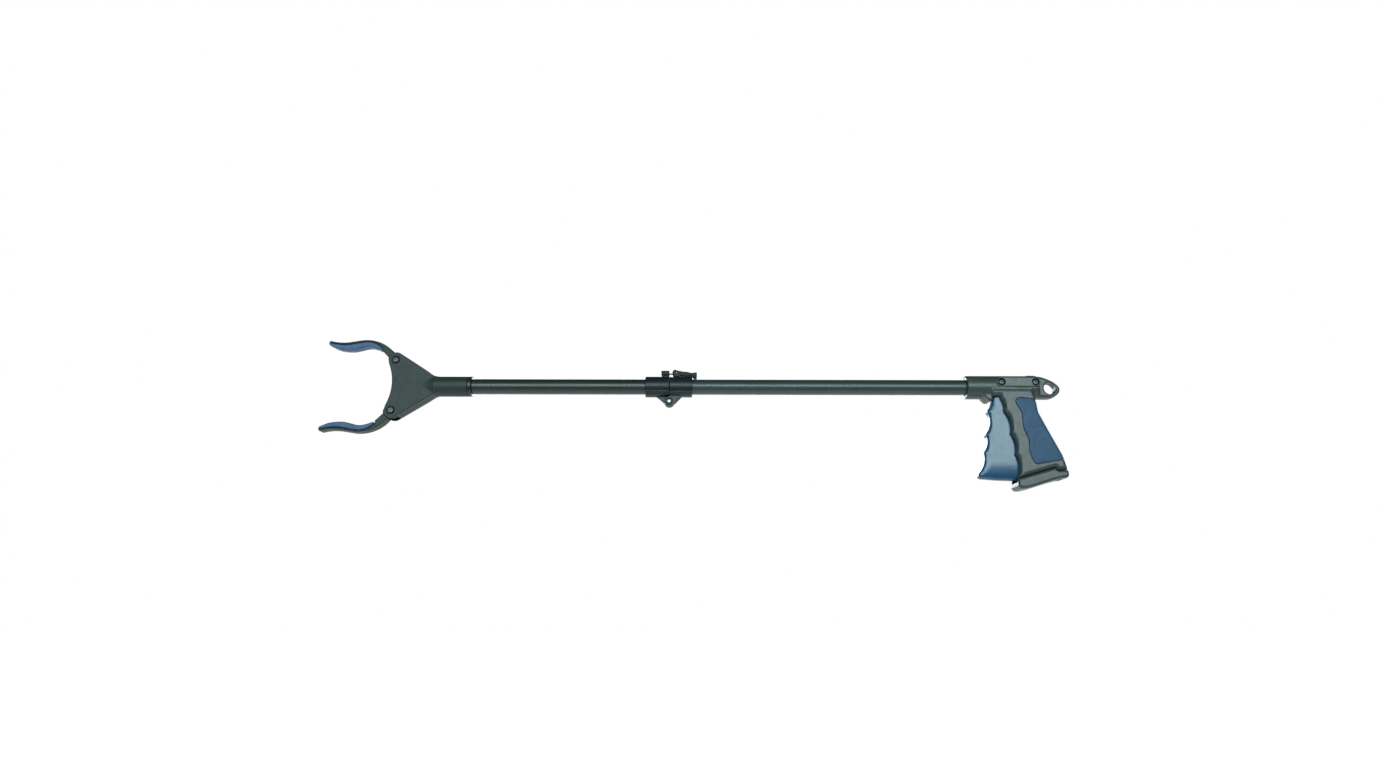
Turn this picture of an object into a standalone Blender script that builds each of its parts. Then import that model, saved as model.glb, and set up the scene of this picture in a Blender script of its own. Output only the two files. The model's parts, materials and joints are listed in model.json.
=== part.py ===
"""Folding reacher grabber: pistol handle and trigger at +X, jaws at -X.

The tube runs along X, the grip hangs towards -Z and the left side is -Y.
The origin is on the tube's axis above the middle of the grip.
Every dimension below is in millimetres; the builders turn it into metres.
"""
import math

import bmesh
import bpy
from mathutils import Matrix, Vector

MM = 0.001
GAP = 0.3                    # clearance between neighbouring solids
FIT = 0.15                   # radial clearance of a pin or a shaft in its hole
SEGMENTS = 32                # facets of a large round
PIN_SEGMENTS = 20            # facets of a small round
WELD = 0.000001              # metres
FLAT_ANGLE = math.radians(0.3)

# Driving dimensions
TUBE_R = 8.0
TUBE_WALL = 1.2
SLEEVE_R = 12.25             # handle sleeve
COLLAR_R = 10.85             # fold collars
SOCKET_R = 10.5              # head socket
FOLD_X = -367.4              # parting plane of the fold
FOLD_PIN = (-367.4, -16.2)
LUG_INNER = 2.0              # the rear collar's two lugs, across Y
LUG_OUTER = 4.4
SLEEVE_FRONT_X = -57.6
REAR_COLLAR_END_X = -343.4
FRONT_COLLAR_END_X = -392.4
TUBE_REAR_END_X = -45.6
TUBE_FRONT_END_X = -606.0

TRIGGER_PIVOT = (-22.4, 3.4)
ANCHOR_ARM = 11.5            # trigger pivot to the cable anchor
TRIGGER_HALF = 6.6
SLOT_HALF = 7.4              # half width of the slot the trigger moves in
SWEEP_R = 104.4              # trigger's lower end sweeps inside this radius

JAW_PIVOT = (-654.8, 27.3)   # the lower jaw's pivot is its mirror image
JAW_HALF = 6.0
HEAD_HALF = 8.0
HEAD_POCKET_HALF = 6.3
PULL_ARM = 6.45              # jaw pivot to the crosshead pin, across the pull
PULL_STROKE = 3.93
PULL_PIN_X = JAW_PIVOT[0] - PULL_STROKE / 2
PULL_PIN_Z = JAW_PIVOT[1] - PULL_ARM

CAM_PIVOT = (-360.0, 14.5)
CAM_R = 4.4
ROD_Z = 14.2

GRIP_HALF = 12.6
LAND_HALF = 12.5             # raised side plates over the screws
HOUSING_SCREW = (12.8, 3.2)
TAIL_EYE = (29.7, -1.8)
CAP_SCREW_X = 30.5

CHARCOAL = (0.075, 0.105, 0.102)
GRAPHITE = (0.030, 0.042, 0.048)
OLIVE_GREY = (0.135, 0.175, 0.160)
BLUE = (0.045, 0.105, 0.220)
PALE_BLUE = (0.150, 0.250, 0.370)
BLACK = (0.012, 0.013, 0.015)
STEEL = (0.62, 0.63, 0.64)


# ---------------------------------------------------------------- set-up

def empty_scene():
    for item in list(bpy.data.objects):
        bpy.data.objects.remove(item, do_unlink=True)


def new_collection(name):
    made = bpy.data.collections.new(name)
    bpy.context.scene.collection.children.link(made)
    return made


empty_scene()
PARTS = new_collection("reacher_grabber")
TOOLS = new_collection("construction")


def material(name, colour, roughness, metallic=0.0):
    made = bpy.data.materials.new(name)
    made.use_nodes = True
    shader = made.node_tree.nodes["Principled BSDF"]
    shader.inputs["Base Color"].default_value = (*colour, 1.0)
    shader.inputs["Roughness"].default_value = roughness
    shader.inputs["Metallic"].default_value = metallic
    made.diffuse_color = (*colour, 1.0)
    return made


MOULDED = material("charcoal_moulding", CHARCOAL, 0.55)
COLLAR = material("graphite_moulding", GRAPHITE, 0.45)
GRIP = material("olive_grey_moulding", OLIVE_GREY, 0.6)
RUBBER = material("blue_rubber", BLUE, 0.75)
TRIGGER_BLUE = material("blue_moulding", PALE_BLUE, 0.4)
PAINTED = material("satin_tube_paint", GRAPHITE, 0.35, 0.3)
SCREW_BLACK = material("blackened_screw", BLACK, 0.3, 0.8)
PLATED = material("plated_steel", STEEL, 0.25, 1.0)


# -------------------------------------------------------------- builders

def link_part(item, name, surface):
    item.name = name
    item.data.name = name
    item.data.materials.clear()
    item.data.materials.append(surface)
    for owner in list(item.users_collection):
        owner.objects.unlink(item)
    PARTS.objects.link(item)
    return item


def link_tool(item):
    for owner in list(item.users_collection):
        owner.objects.unlink(item)
    TOOLS.objects.link(item)
    item.hide_render = True
    item.display_type = "WIRE"
    return item


def mesh_object(name, mesh):
    item = bpy.data.objects.new(name, mesh)
    bpy.context.scene.collection.objects.link(item)
    return item


def baked(item, name):
    """A plain mesh copy of an object's evaluated shape; the object goes."""
    graph = bpy.context.evaluated_depsgraph_get()
    mesh = bpy.data.meshes.new_from_object(item.evaluated_get(graph))
    mesh.transform(item.matrix_world)
    bpy.data.objects.remove(item, do_unlink=True)
    return mesh_object(name, mesh)


def clean(item, merge_flat=False):
    """Weld loose caps; a flat fan of triangles can become a single face."""
    work = bmesh.new()
    work.from_mesh(item.data)
    bmesh.ops.remove_doubles(work, verts=work.verts, dist=WELD)
    if merge_flat:
        bmesh.ops.dissolve_limit(work, angle_limit=FLAT_ANGLE, verts=work.verts, edges=work.edges)
    bmesh.ops.recalc_face_normals(work, faces=work.faces)
    work.to_mesh(item.data)
    work.free()
    return item


def shade_round(item, angle=40.0):
    item.data.shade_smooth()
    item.data.set_sharp_from_angle(angle=math.radians(angle))
    return item


def prism(name, outline, y_low, y_high, round_by=0.0, steps=2):
    """A flat XZ outline given thickness along Y, its edges rounded if asked."""
    curve = bpy.data.curves.new(name, "CURVE")
    curve.dimensions = "2D"
    curve.fill_mode = "BOTH"
    curve.extrude = (y_high - y_low) / 2 * MM
    spline = curve.splines.new("POLY")
    spline.points.add(len(outline) - 1)
    for point, (x, z) in zip(spline.points, outline):
        point.co = (x * MM, z * MM, 0.0, 1.0)
    spline.use_cyclic_u = True
    item = bpy.data.objects.new(name, curve)
    item.rotation_euler = (math.pi / 2, 0.0, 0.0)
    item.location = (0.0, (y_low + y_high) / 2 * MM, 0.0)
    bpy.context.scene.collection.objects.link(item)
    bpy.context.view_layer.update()
    solid = clean(baked(item, name), merge_flat=True)
    if round_by:
        edge = solid.modifiers.new("rounded edges", "BEVEL")
        edge.width = round_by * MM
        edge.segments = steps
        edge.limit_method = "ANGLE"
        edge.angle_limit = math.radians(60)
        solid = baked(solid, name)
    return solid


AXES = {
    "X": Matrix.Rotation(math.pi / 2, 4, "Y"),
    "Y": Matrix.Rotation(-math.pi / 2, 4, "X"),
    "Z": Matrix.Identity(4),
}


def turned(name, profile, axis, centre, steps=SEGMENTS, closed=False):
    """A (radius, height) profile turned about an axis through a point.

    The profile runs down its outer side, from the greatest height to the least.
    """
    mesh = bpy.data.meshes.new(name)
    points = [(radius * MM, 0.0, height * MM) for radius, height in profile]
    edges = [(index, index + 1) for index in range(len(points) - 1)]
    if closed:
        edges.append((len(points) - 1, 0))
    mesh.from_pydata(points, edges, [])
    item = mesh_object(name, mesh)
    screw = item.modifiers.new("turned", "SCREW")
    screw.steps = steps
    screw.render_steps = steps
    screw.use_merge_vertices = True
    screw.merge_threshold = 0.000001
    item.matrix_world = Matrix.Translation(Vector(centre) * MM) @ AXES[axis]
    bpy.context.view_layer.update()
    solid = baked(item, name)
    return solid


def rod(name, radius, low, high, axis, centre=(0.0, 0.0, 0.0), steps=SEGMENTS, edge=0.0):
    """A solid cylinder from low to high along an axis, its ends chamfered if asked."""
    if edge:
        profile = [(0.0, high), (radius - edge, high), (radius, high - edge)]
        profile += [(radius, low + edge), (radius - edge, low), (0.0, low)]
    else:
        profile = [(0.0, high), (radius, high), (radius, low), (0.0, low)]
    return turned(name, profile, axis, centre, steps)


def ring(name, outer, inner, low, high, axis, centre=(0.0, 0.0, 0.0), steps=SEGMENTS, edge=0.0):
    """A hollow cylinder from low to high along an axis."""
    profile = [(inner, high), (outer - edge, high), (outer, high - edge)]
    profile += [(outer, low + edge), (outer - edge, low), (inner, low)]
    if not edge:
        profile = [(inner, high), (outer, high), (outer, low), (inner, low)]
    return turned(name, profile, axis, centre, steps, closed=True)


def box(name, low, high, round_by=0.0, steps=2):
    """A box between two corners, its edges rounded if asked."""
    mesh = bpy.data.meshes.new(name)
    work = bmesh.new()
    bmesh.ops.create_cube(work, size=1.0)
    size = [(b - a) * MM for a, b in zip(low, high)]
    middle = [(a + b) / 2 * MM for a, b in zip(low, high)]
    bmesh.ops.scale(work, verts=work.verts, vec=size)
    bmesh.ops.translate(work, verts=work.verts, vec=middle)
    work.to_mesh(mesh)
    work.free()
    solid = mesh_object(name, mesh)
    if round_by:
        edge = solid.modifiers.new("rounded edges", "BEVEL")
        edge.width = round_by * MM
        edge.segments = steps
        solid = baked(solid, name)
    return solid


def wire(name, points, radius):
    """A round wire or cable through points, its ends capped."""
    curve = bpy.data.curves.new(name, "CURVE")
    curve.dimensions = "3D"
    curve.bevel_depth = radius * MM
    curve.bevel_resolution = 2
    curve.use_fill_caps = True
    spline = curve.splines.new("POLY")
    spline.points.add(len(points) - 1)
    for point, place in zip(spline.points, points):
        point.co = (*(value * MM for value in place), 1.0)
    item = bpy.data.objects.new(name, curve)
    bpy.context.scene.collection.objects.link(item)
    bpy.context.view_layer.update()
    return clean(baked(item, name))


def combine(item, other, operation):
    """Boolean with a construction piece, which stays in its own collection."""
    link_tool(other)
    step = item.modifiers.new(operation.lower(), "BOOLEAN")
    step.operation = operation
    step.solver = "EXACT"
    step.object = other
    return item


def cut(item, *others):
    for other in others:
        combine(item, other, "DIFFERENCE")
    return item


def join(item, *others):
    for other in others:
        combine(item, other, "UNION")
    return item


def finish(item, name, surface, origin=None):
    """Bake the cuts, tidy the mesh, and put the object's origin on its axis."""
    bpy.context.view_layer.update()
    part = clean(baked(item, name))
    if origin:
        x, z = origin
        place = Vector((x * MM, 0.0, z * MM))
        part.data.transform(Matrix.Translation(-place))
        part.location = place
    shade_round(part)
    return link_part(part, name, surface)


# -------------------------------------------------------------- outlines

def arc(centre, radius, start, end, count):
    """Points round a centre in the XZ plane; angles in degrees from +X to +Z."""
    x, z = centre
    points = []
    for index in range(count + 1):
        angle = math.radians(start + (end - start) * index / count)
        points.append((x + radius * math.cos(angle), z + radius * math.sin(angle)))
    return points


def bowed(start, end, bow, count=5):
    """Points of a shallow arc from start to end, bowed to the left of travel."""
    (x0, z0), (x1, z1) = start, end
    length = math.hypot(x1 - x0, z1 - z0)
    side = (-(z1 - z0) / length, (x1 - x0) / length)
    points = []
    for index in range(count):
        t = index / count
        lift = bow * 4 * t * (1 - t)
        points.append((x0 + (x1 - x0) * t + side[0] * lift, z0 + (z1 - z0) * t + side[1] * lift))
    return points


def scalloped(tips, bows):
    """Finger grooves between tips, each an arc bowed by its own depth."""
    points = []
    for start, end, bow in zip(tips, tips[1:], bows):
        points += bowed(start, end, bow)
    return points + [tips[-1]]


def smooth(points, per=3):
    """A Catmull-Rom curve through the points, with per steps in each span."""
    padded = [points[0]] + list(points) + [points[-1]]
    result = []
    for p0, p1, p2, p3 in zip(padded, padded[1:], padded[2:], padded[3:]):
        for index in range(per):
            t = index / per
            result.append(tuple(
                0.5 * (2 * b + (c - a) * t + (2 * a - 5 * b + 4 * c - d) * t * t
                       + (3 * b - a - 3 * c + d) * t ** 3)
                for a, b, c, d in zip(p0, p1, p2, p3)))
    return result + [points[-1]]


def mirrored(outline):
    """The outline on the other side of the tube's axis."""
    return [(x, -z) for x, z in reversed(outline)]


GRIP_TIPS = [(-23.7, -14.5), (-21.8, -27.5), (-17.5, -50.7), (-14.6, -72.1), (-13.8, -95.0)]
GRIP_BOWS = [1.4, 3.4, 2.8, 2.6]
TRIGGER_TIPS = [(-37.6, -26.1), (-41.2, -50.6), (-45.0, -69.3), (-51.9, -91.4)]
TRIGGER_BOWS = [3.8, 2.9, 3.0]
SEAM = [(-14.8, -97.2), (23.8, -86.1), (25.8, -89.0), (36.2, -88.4)]


def grip_outline():
    flange = [(-43.5, -3.5), (-43.0, -8.0), (-39.2, -12.6), (-36.4, -15.4), (-32.6, -15.4)]
    mouth = [(-32.6, -11.5), (-24.6, -11.5)]
    front = scalloped(GRIP_TIPS, GRIP_BOWS)
    back = smooth([(33.9, -77.6), (15.1, -35.4), (12.0, -26.0), (11.6, -12.0)])
    return flange + mouth + front + SEAM + [(35.6, -84.5)] + back + [(8.3, -3.5)]


def trigger_outline():
    head = arc(TRIGGER_PIVOT, 3.4, 0, 180, 8)
    front = [(-27.4, -6.0), (-30.6, -11.0), (-32.2, -17.4), (-34.6, -22.0)]
    front += scalloped(TRIGGER_TIPS, TRIGGER_BOWS)
    foot = [(-52.4, -94.6), (-50.4, -96.6), (-34.0, -98.0), (-11.0, -98.6)]
    back = smooth([(-9.0, -96.5), (-7.5, -82.0), (-9.0, -63.0), (-12.0, -40.0), (-16.0, -23.0)])
    return head + front + foot + back + [(-17.6, -8.0)]


def sweep_outline():
    """The hollow in the grip that the trigger swings through."""
    upper = [(-8.0, 7.3), (-44.8, 7.3), (-44.8, -10.0), (-32.9, -10.0), (-32.9, -19.0)]
    lower = arc(TRIGGER_PIVOT, SWEEP_R, 247, 299.4, 16)
    back = [(25.0, -72.0), (16.5, -54.0), (5.5, -33.0), (-6.5, -14.0)]
    return upper + [(-60.0, -32.0)] + lower + back


def insert_outline(inset=0.0):
    """The soft panel on the side of the grip; inset shrinks it all round."""
    edge = [(-4.6, -13.4), (7.2, -14.6), (11.2, -17.5), (12.0, -27.3), (15.1, -35.4)]
    edge += [(31.9, -76.4), (31.1, -78.6), (6.8, -83.0), (2.6, -81.4), (-1.2, -70.0)]
    edge += [(-1.0, -57.4), (-5.1, -44.6), (-5.2, -30.2), (-10.2, -19.0), (-8.6, -14.8)]
    points = []
    count = len(edge)
    for index, (x, z) in enumerate(edge):
        before = edge[index - 1]
        after = edge[(index + 1) % count]
        run = (after[0] - before[0], after[1] - before[1])
        length = math.hypot(*run)
        points.append((x + run[1] / length * inset, z - run[0] / length * inset))
    return points


def cap_outline():
    top = [(x, z - GAP * 1.1) for x, z in SEAM]
    rear = [(36.8, -91.0), (36.6, -95.0), (34.6, -96.8)]
    sole = smooth([(30.0, -97.2), (21.0, -99.4), (11.0, -102.4), (0.0, -105.9), (-8.0, -107.8)])
    toe = [(-12.6, -108.0), (-15.2, -105.4)]
    return top + rear + sole + toe


# ---------------------------------------------------------------- handle

def screw_shape(name, centre, head_r, head_y, seat_y, shank_r, tip_y):
    """A pan-head screw along Y: head from head_y to seat_y, shank to tip_y."""
    x, z = centre
    profile = [(0.0, tip_y), (shank_r, tip_y), (shank_r, seat_y)]
    profile += [(head_r, seat_y), (head_r, head_y + 0.7), (head_r - 0.8, head_y), (0.0, head_y)]
    item = turned(name, profile, "Y", (x, 0.0, z), PIN_SEGMENTS)
    socket = turned("drive", [(0.0, head_y + 1.1), (head_r * 0.42, head_y + 1.1),
                              (head_r * 0.42, head_y - 1.0), (0.0, head_y - 1.0)],
                    "Y", (x, 0.0, z), 6)
    return cut(item, socket)


def stepped_hole(centre, recess_r, recess_y, hole_r, far_y, far_r=0.0):
    """A screw's hole along Y, wider for its head and, if asked, for its nut."""
    reach = 20.0
    profile = [(0.0, far_y), (hole_r, far_y)]
    if far_r:
        profile = [(0.0, reach), (far_r, reach), (far_r, far_y), (hole_r, far_y)]
    profile += [(hole_r, recess_y), (recess_r, recess_y), (recess_r, -reach), (0.0, -reach)]
    return turned("screw_hole", profile, "Y", (centre[0], 0.0, centre[1]), PIN_SEGMENTS)


def handle_body():
    """Sleeve, housing, tail eye and grip as one solid, before it is split."""
    sleeve_profile = [(0.0, 17.0), (SLEEVE_R - 1.2, 17.0), (SLEEVE_R, 14.0)]
    sleeve_profile += [(SLEEVE_R, SLEEVE_FRONT_X + 1.6), (SLEEVE_R - 1.6, SLEEVE_FRONT_X)]
    sleeve_profile += [(0.0, SLEEVE_FRONT_X)]
    body = turned("handle_body", sleeve_profile, "X", (0.0, 0.0, 0.0), 40)
    tail = smooth([(8.0, 11.6), (20.0, 11.2), (29.0, 8.2), (36.0, 4.2), (40.2, -1.0)])
    tail += smooth([(39.4, -6.0), (34.0, -10.6), (27.0, -12.2), (8.0, -11.8)])
    join(body, prism("tail", tail, -6.2, 6.2, 1.6))
    join(body, prism("grip", grip_outline(), -GRIP_HALF, GRIP_HALF, 3.2, 3))
    land = arc(TRIGGER_PIVOT, 4.9, 90, 270, 10) + arc(HOUSING_SCREW, 4.9, 270, 450, 10)
    join(body, prism("land", land, -LAND_HALF, LAND_HALF, 0.5, 1))
    cut(body, rod("tube_seat", TUBE_R + FIT, SLEEVE_FRONT_X - 3, TUBE_REAR_END_X + 1, "X"))
    cut(body, prism("trigger_slot", sweep_outline(), -SLOT_HALF, SLOT_HALF))
    cut(body, rod("eye_hole", 6.15, -20, 20, "Y", (TAIL_EYE[0], 0.0, TAIL_EYE[1]), 28))
    for centre in (TRIGGER_PIVOT, HOUSING_SCREW):
        cut(body, stepped_hole(centre, 3.75, -9.4, 1.5 + FIT, 9.6))
    cap_place = (CAP_SCREW_X, 0.0, 0.0)
    cut(body, rod("cap_screw_hole", 1.3 + FIT, -95, -79, "Z", cap_place, PIN_SEGMENTS))
    for side in (-1, 1):
        near, far = sorted((side * (GRIP_HALF - 1.5), side * (GRIP_HALF + 5)))
        cut(body, prism("insert_pocket", insert_outline(), near, far))
    return baked_tool(body)


def baked_tool(item):
    bpy.context.view_layer.update()
    return link_tool(clean(baked(item, item.name)))


def build_handle():
    body = handle_body()
    for name, side in (("left", -1), ("right", 1)):
        shell = mesh_object("half", body.data.copy())
        low, high = sorted((side * FIT, side * 40.0))
        keep = box("keep", (-80, low, -130), (80, high, 40))
        combine(shell, keep, "INTERSECT")
        finish(shell, "handle_shell_" + name, GRIP)
        low, high = sorted((side * (GRIP_HALF - 1.2), side * (GRIP_HALF + 0.7)))
        panel = prism("panel", insert_outline(GAP), low, high, 0.5, 1)
        finish(panel, "grip_insert_" + name, RUBBER)

    cap = prism("cap", cap_outline(), -GRIP_HALF, GRIP_HALF, 2.2, 2)
    cut(cap, prism("foot_slot", sweep_outline(), -SLOT_HALF, SLOT_HALF))
    place = (CAP_SCREW_X, 0.0, 0.0)
    cut(cap, rod("cap_hole", 1.3 + FIT, -120, -80, "Z", place, PIN_SEGMENTS))
    cut(cap, rod("counterbore", 3.6, -120, -93.6, "Z", place, PIN_SEGMENTS))
    finish(cap, "base_cap", GRIP)
    profile = [(0.0, -80.5), (1.3, -80.5), (1.3, -93.9), (3.0, -93.9), (3.0, -95.0), (2.3, -95.8), (0.0, -95.8)]
    finish(turned("screw", profile, "Z", place, PIN_SEGMENTS), "base_cap_screw", PLATED)

    pivot = screw_shape("screw", TRIGGER_PIVOT, 3.2, -11.6, -9.7, 1.5, 9.3)
    finish(pivot, "trigger_pivot_screw", SCREW_BLACK)
    clamp = screw_shape("screw", HOUSING_SCREW, 3.2, -11.6, -9.7, 1.5, 9.3)
    finish(clamp, "housing_screw", SCREW_BLACK)


def build_trigger():
    x, z = TRIGGER_PIVOT
    body = prism("trigger", trigger_outline(), -TRIGGER_HALF, TRIGGER_HALF, 1.6, 2)
    place = (x, 0.0, z)
    cut(body, rod("pivot_hole", 1.5 + FIT, -20, 20, "Y", place, PIN_SEGMENTS))
    anchor = (x, 0.0, z - ANCHOR_ARM)
    cut(body, rod("anchor_hole", 1.5 + FIT, -20, 20, "Y", anchor, PIN_SEGMENTS))
    cut(body, box("cable_slot", (-60, -2.0, z - ANCHOR_ARM - 4.8), (-10, 2.0, z - 4.8)))
    finish(body, "trigger", TRIGGER_BLUE, TRIGGER_PIVOT)
    pin = rod("pin", 1.5, -6.2, 6.2, "Y", anchor, PIN_SEGMENTS, 0.3)
    finish(pin, "cable_anchor_pin", PLATED, TRIGGER_PIVOT)


# ----------------------------------------------------------------- tubes

def build_tubes():
    inner = TUBE_R - TUBE_WALL
    rear = ring("tube", TUBE_R, inner, FOLD_X + 0.8, TUBE_REAR_END_X, "X")
    finish(rear, "rear_tube", PAINTED)
    front = ring("tube", TUBE_R, inner, TUBE_FRONT_END_X, FOLD_X - 0.8, "X")
    finish(front, "front_tube", PAINTED, FOLD_PIN)
    bushes = (("rear_tube_bush", FOLD_X + 1.0, FOLD_X + 13.0, None),
              ("front_tube_bush", FOLD_X - 13.0, FOLD_X - 1.0, FOLD_PIN),
              ("cable_guide_bush", TUBE_REAR_END_X - 9.0, TUBE_REAR_END_X - 0.4, None))
    for name, low, high, origin in bushes:
        finish(ring("bush", inner - 0.2, 1.6, low, high, "X", steps=24), name, COLLAR, origin)


def build_cables():
    """The pull cable in two lengths that meet at the fold."""
    anchor_z = TRIGGER_PIVOT[1] - ANCHOR_ARM
    route = [(FOLD_X + 0.4, 0.0, 0.0), (-41.5, 0.0, 0.0), (-38.0, 0.0, -1.0)]
    route += [(-30.5, 0.0, anchor_z + 1.0), (-28.0, 0.0, anchor_z)]
    cable = wire("cable", route, 0.9)
    finish(cable, "pull_cable_rear", PLATED)
    x = TRIGGER_PIVOT[0]
    eye = [(-27.6, anchor_z + 2.4), (-27.6, anchor_z - 2.4)]
    eye += arc((x, anchor_z), 3.4, -120, 120, 10)
    clevis = prism("eye", eye, -1.6, 1.6, 0.4, 1)
    slot = arc((x, anchor_z + 0.9), 1.7, 0, 180, 8) + arc((x, anchor_z - 0.2), 1.7, 180, 360, 8)
    cut(clevis, prism("pin_slot", slot, -5, 5))
    finish(clevis, "cable_clevis", PLATED)
    finish(wire("cable", [(-638.9, 0.0, 0.0), (FOLD_X - 0.4, 0.0, 0.0)], 0.9), "pull_cable_front", PLATED)


# ------------------------------------------------------------------ fold

def lug_outline(radius, reach_x, reach_z, side):
    """A rounded lug about the fold pin with an arm up to its collar."""
    x, z = FOLD_PIN
    if side > 0:
        return arc(FOLD_PIN, radius, 95, 330, 14) + [(x + reach_x, reach_z), (x + 3.0, reach_z)]
    return arc(FOLD_PIN, radius, 210, 445, 14) + [(x - 3.0, reach_z), (x - reach_x, reach_z)]


def build_fold():
    place = (FOLD_PIN[0], 0.0, FOLD_PIN[1])
    low, high = FOLD_X + 0.15, REAR_COLLAR_END_X
    rear = rod("collar", COLLAR_R, low, high, "X", edge=0.5)
    for side in (-1, 1):
        near, far = sorted((side * LUG_INNER, side * LUG_OUTER))
        join(rear, prism("lug", lug_outline(5.2, 17.0, -6.0, 1), near, far, 0.4, 1))
    cut(rear, box("cam_seat", (-366.0, -4.9, 9.7), (-353.5, 4.9, 14.0)))
    cam_lug = arc(CAM_PIVOT, 2.8, 0, 180, 8) + [(CAM_PIVOT[0] - 2.8, 8.9), (CAM_PIVOT[0] + 2.8, 8.9)]
    join(rear, prism("cam_lug", cam_lug, -1.4, 1.4))
    cut(rear, rod("bore", TUBE_R + FIT, low - 3, high + 3, "X"))
    cut(rear, rod("pin_hole", 2.0 + FIT, -20, 20, "Y", place, PIN_SEGMENTS))
    cam_place = (CAM_PIVOT[0], 0.0, CAM_PIVOT[1])
    cut(rear, rod("cam_pin_hole", 1.2 + FIT, -20, 20, "Y", cam_place, PIN_SEGMENTS))
    finish(rear, "rear_collar", COLLAR)

    low, high = FRONT_COLLAR_END_X, FOLD_X - 0.15
    front = rod("collar", COLLAR_R, low, high, "X", edge=0.5)
    join(front, prism("lug", lug_outline(4.9, 19.0, -6.0, -1), GAP - LUG_INNER, LUG_INNER - GAP))
    block = [(-375.4, 8.8), (high, 8.8), (high, 11.8), (-374.6, 11.8)]
    join(front, prism("latch_lug", block, -3.2, 3.2))
    cut(front, rod("bore", TUBE_R + FIT, low - 3, high + 3, "X"))
    cut(front, rod("pin_hole", 2.0 + FIT, -20, 20, "Y", place, PIN_SEGMENTS))
    finish(front, "front_collar", COLLAR, FOLD_PIN)

    finish(rod("pin", 2.0, -LUG_OUTER - 0.8, LUG_OUTER + 0.8, "Y", place, PIN_SEGMENTS, 0.4), "fold_hinge_pin", PLATED)
    nut = box("nut", (-376.0, -4.2, 12.1), (high, 4.2, 17.0), 0.8, 2)
    cut(nut, rod("rod_hole", 0.9, -390, -360, "X", (0.0, 0.0, ROD_Z), 12))
    finish(nut, "latch_nut", COLLAR, FOLD_PIN)
    draw = rod("rod", 0.7, -375.0, -363.3, "X", (0.0, 0.0, ROD_Z), 12)
    finish(draw, "latch_draw_rod", SCREW_BLACK, FOLD_PIN)


def build_cam_lever():
    x, z = CAM_PIVOT
    head = arc(CAM_PIVOT, CAM_R, 75, 285, 16)
    under = [(-356.0, 11.3), (-343.0, 11.3), (-342.4, 9.3), (-338.7, 9.3), (-338.7, 15.2)]
    over = smooth([(-342.2, 15.2), (-343.4, 14.6), (-347.5, 15.6), (-352.0, 17.4), (-356.0, 18.5)])
    body = prism("lever", head + under + over, -4.1, 4.1, 0.7, 2)
    place = (x, 0.0, z)
    cut(body, rod("pin_hole", 1.2 + FIT, -20, 20, "Y", place, PIN_SEGMENTS))
    cut(body, box("fork", (x - 9, -1.7, z - 9), (x + 3.2, 1.7, z + 9)))
    finish(body, "cam_lever", COLLAR, CAM_PIVOT)
    finish(rod("pin", 1.2, -3.9, 3.9, "Y", place, PIN_SEGMENTS, 0.2), "cam_lever_pin", PLATED)


# ------------------------------------------------------------------ head

def head_outline():
    """The flat yoke: two lobes round the jaw pivots and a neck to the socket."""
    x, z = JAW_PIVOT
    upper = arc(JAW_PIVOT, 8.2, 55, 172, 10)
    front = bowed((x - 7.0, z - 4.0), (x - 7.0, -z + 4.0), 5.2, 12)
    lower = arc((x, -z), 8.2, 188, 305, 10)
    neck = [(-621.0, -15.0), (-614.5, -10.4), (-606.0, -8.0)]
    return upper + front + lower + neck + [(px, -pz) for px, pz in reversed(neck)]


def head_pocket_outline():
    """The hollow for the jaw roots and the crosshead, open at both lobes."""
    half = [(-676.0, 44.0), (-648.6, 44.0), (-648.6, 31.2), (-619.0, 11.2), (-616.5, 7.6)]
    middle = [(-652.6, 16.6), (-676.0, 16.6)]
    return half + [(px, -pz) for px, pz in reversed(half)] + [(px, -pz) for px, pz in reversed(middle)] + middle


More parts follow.
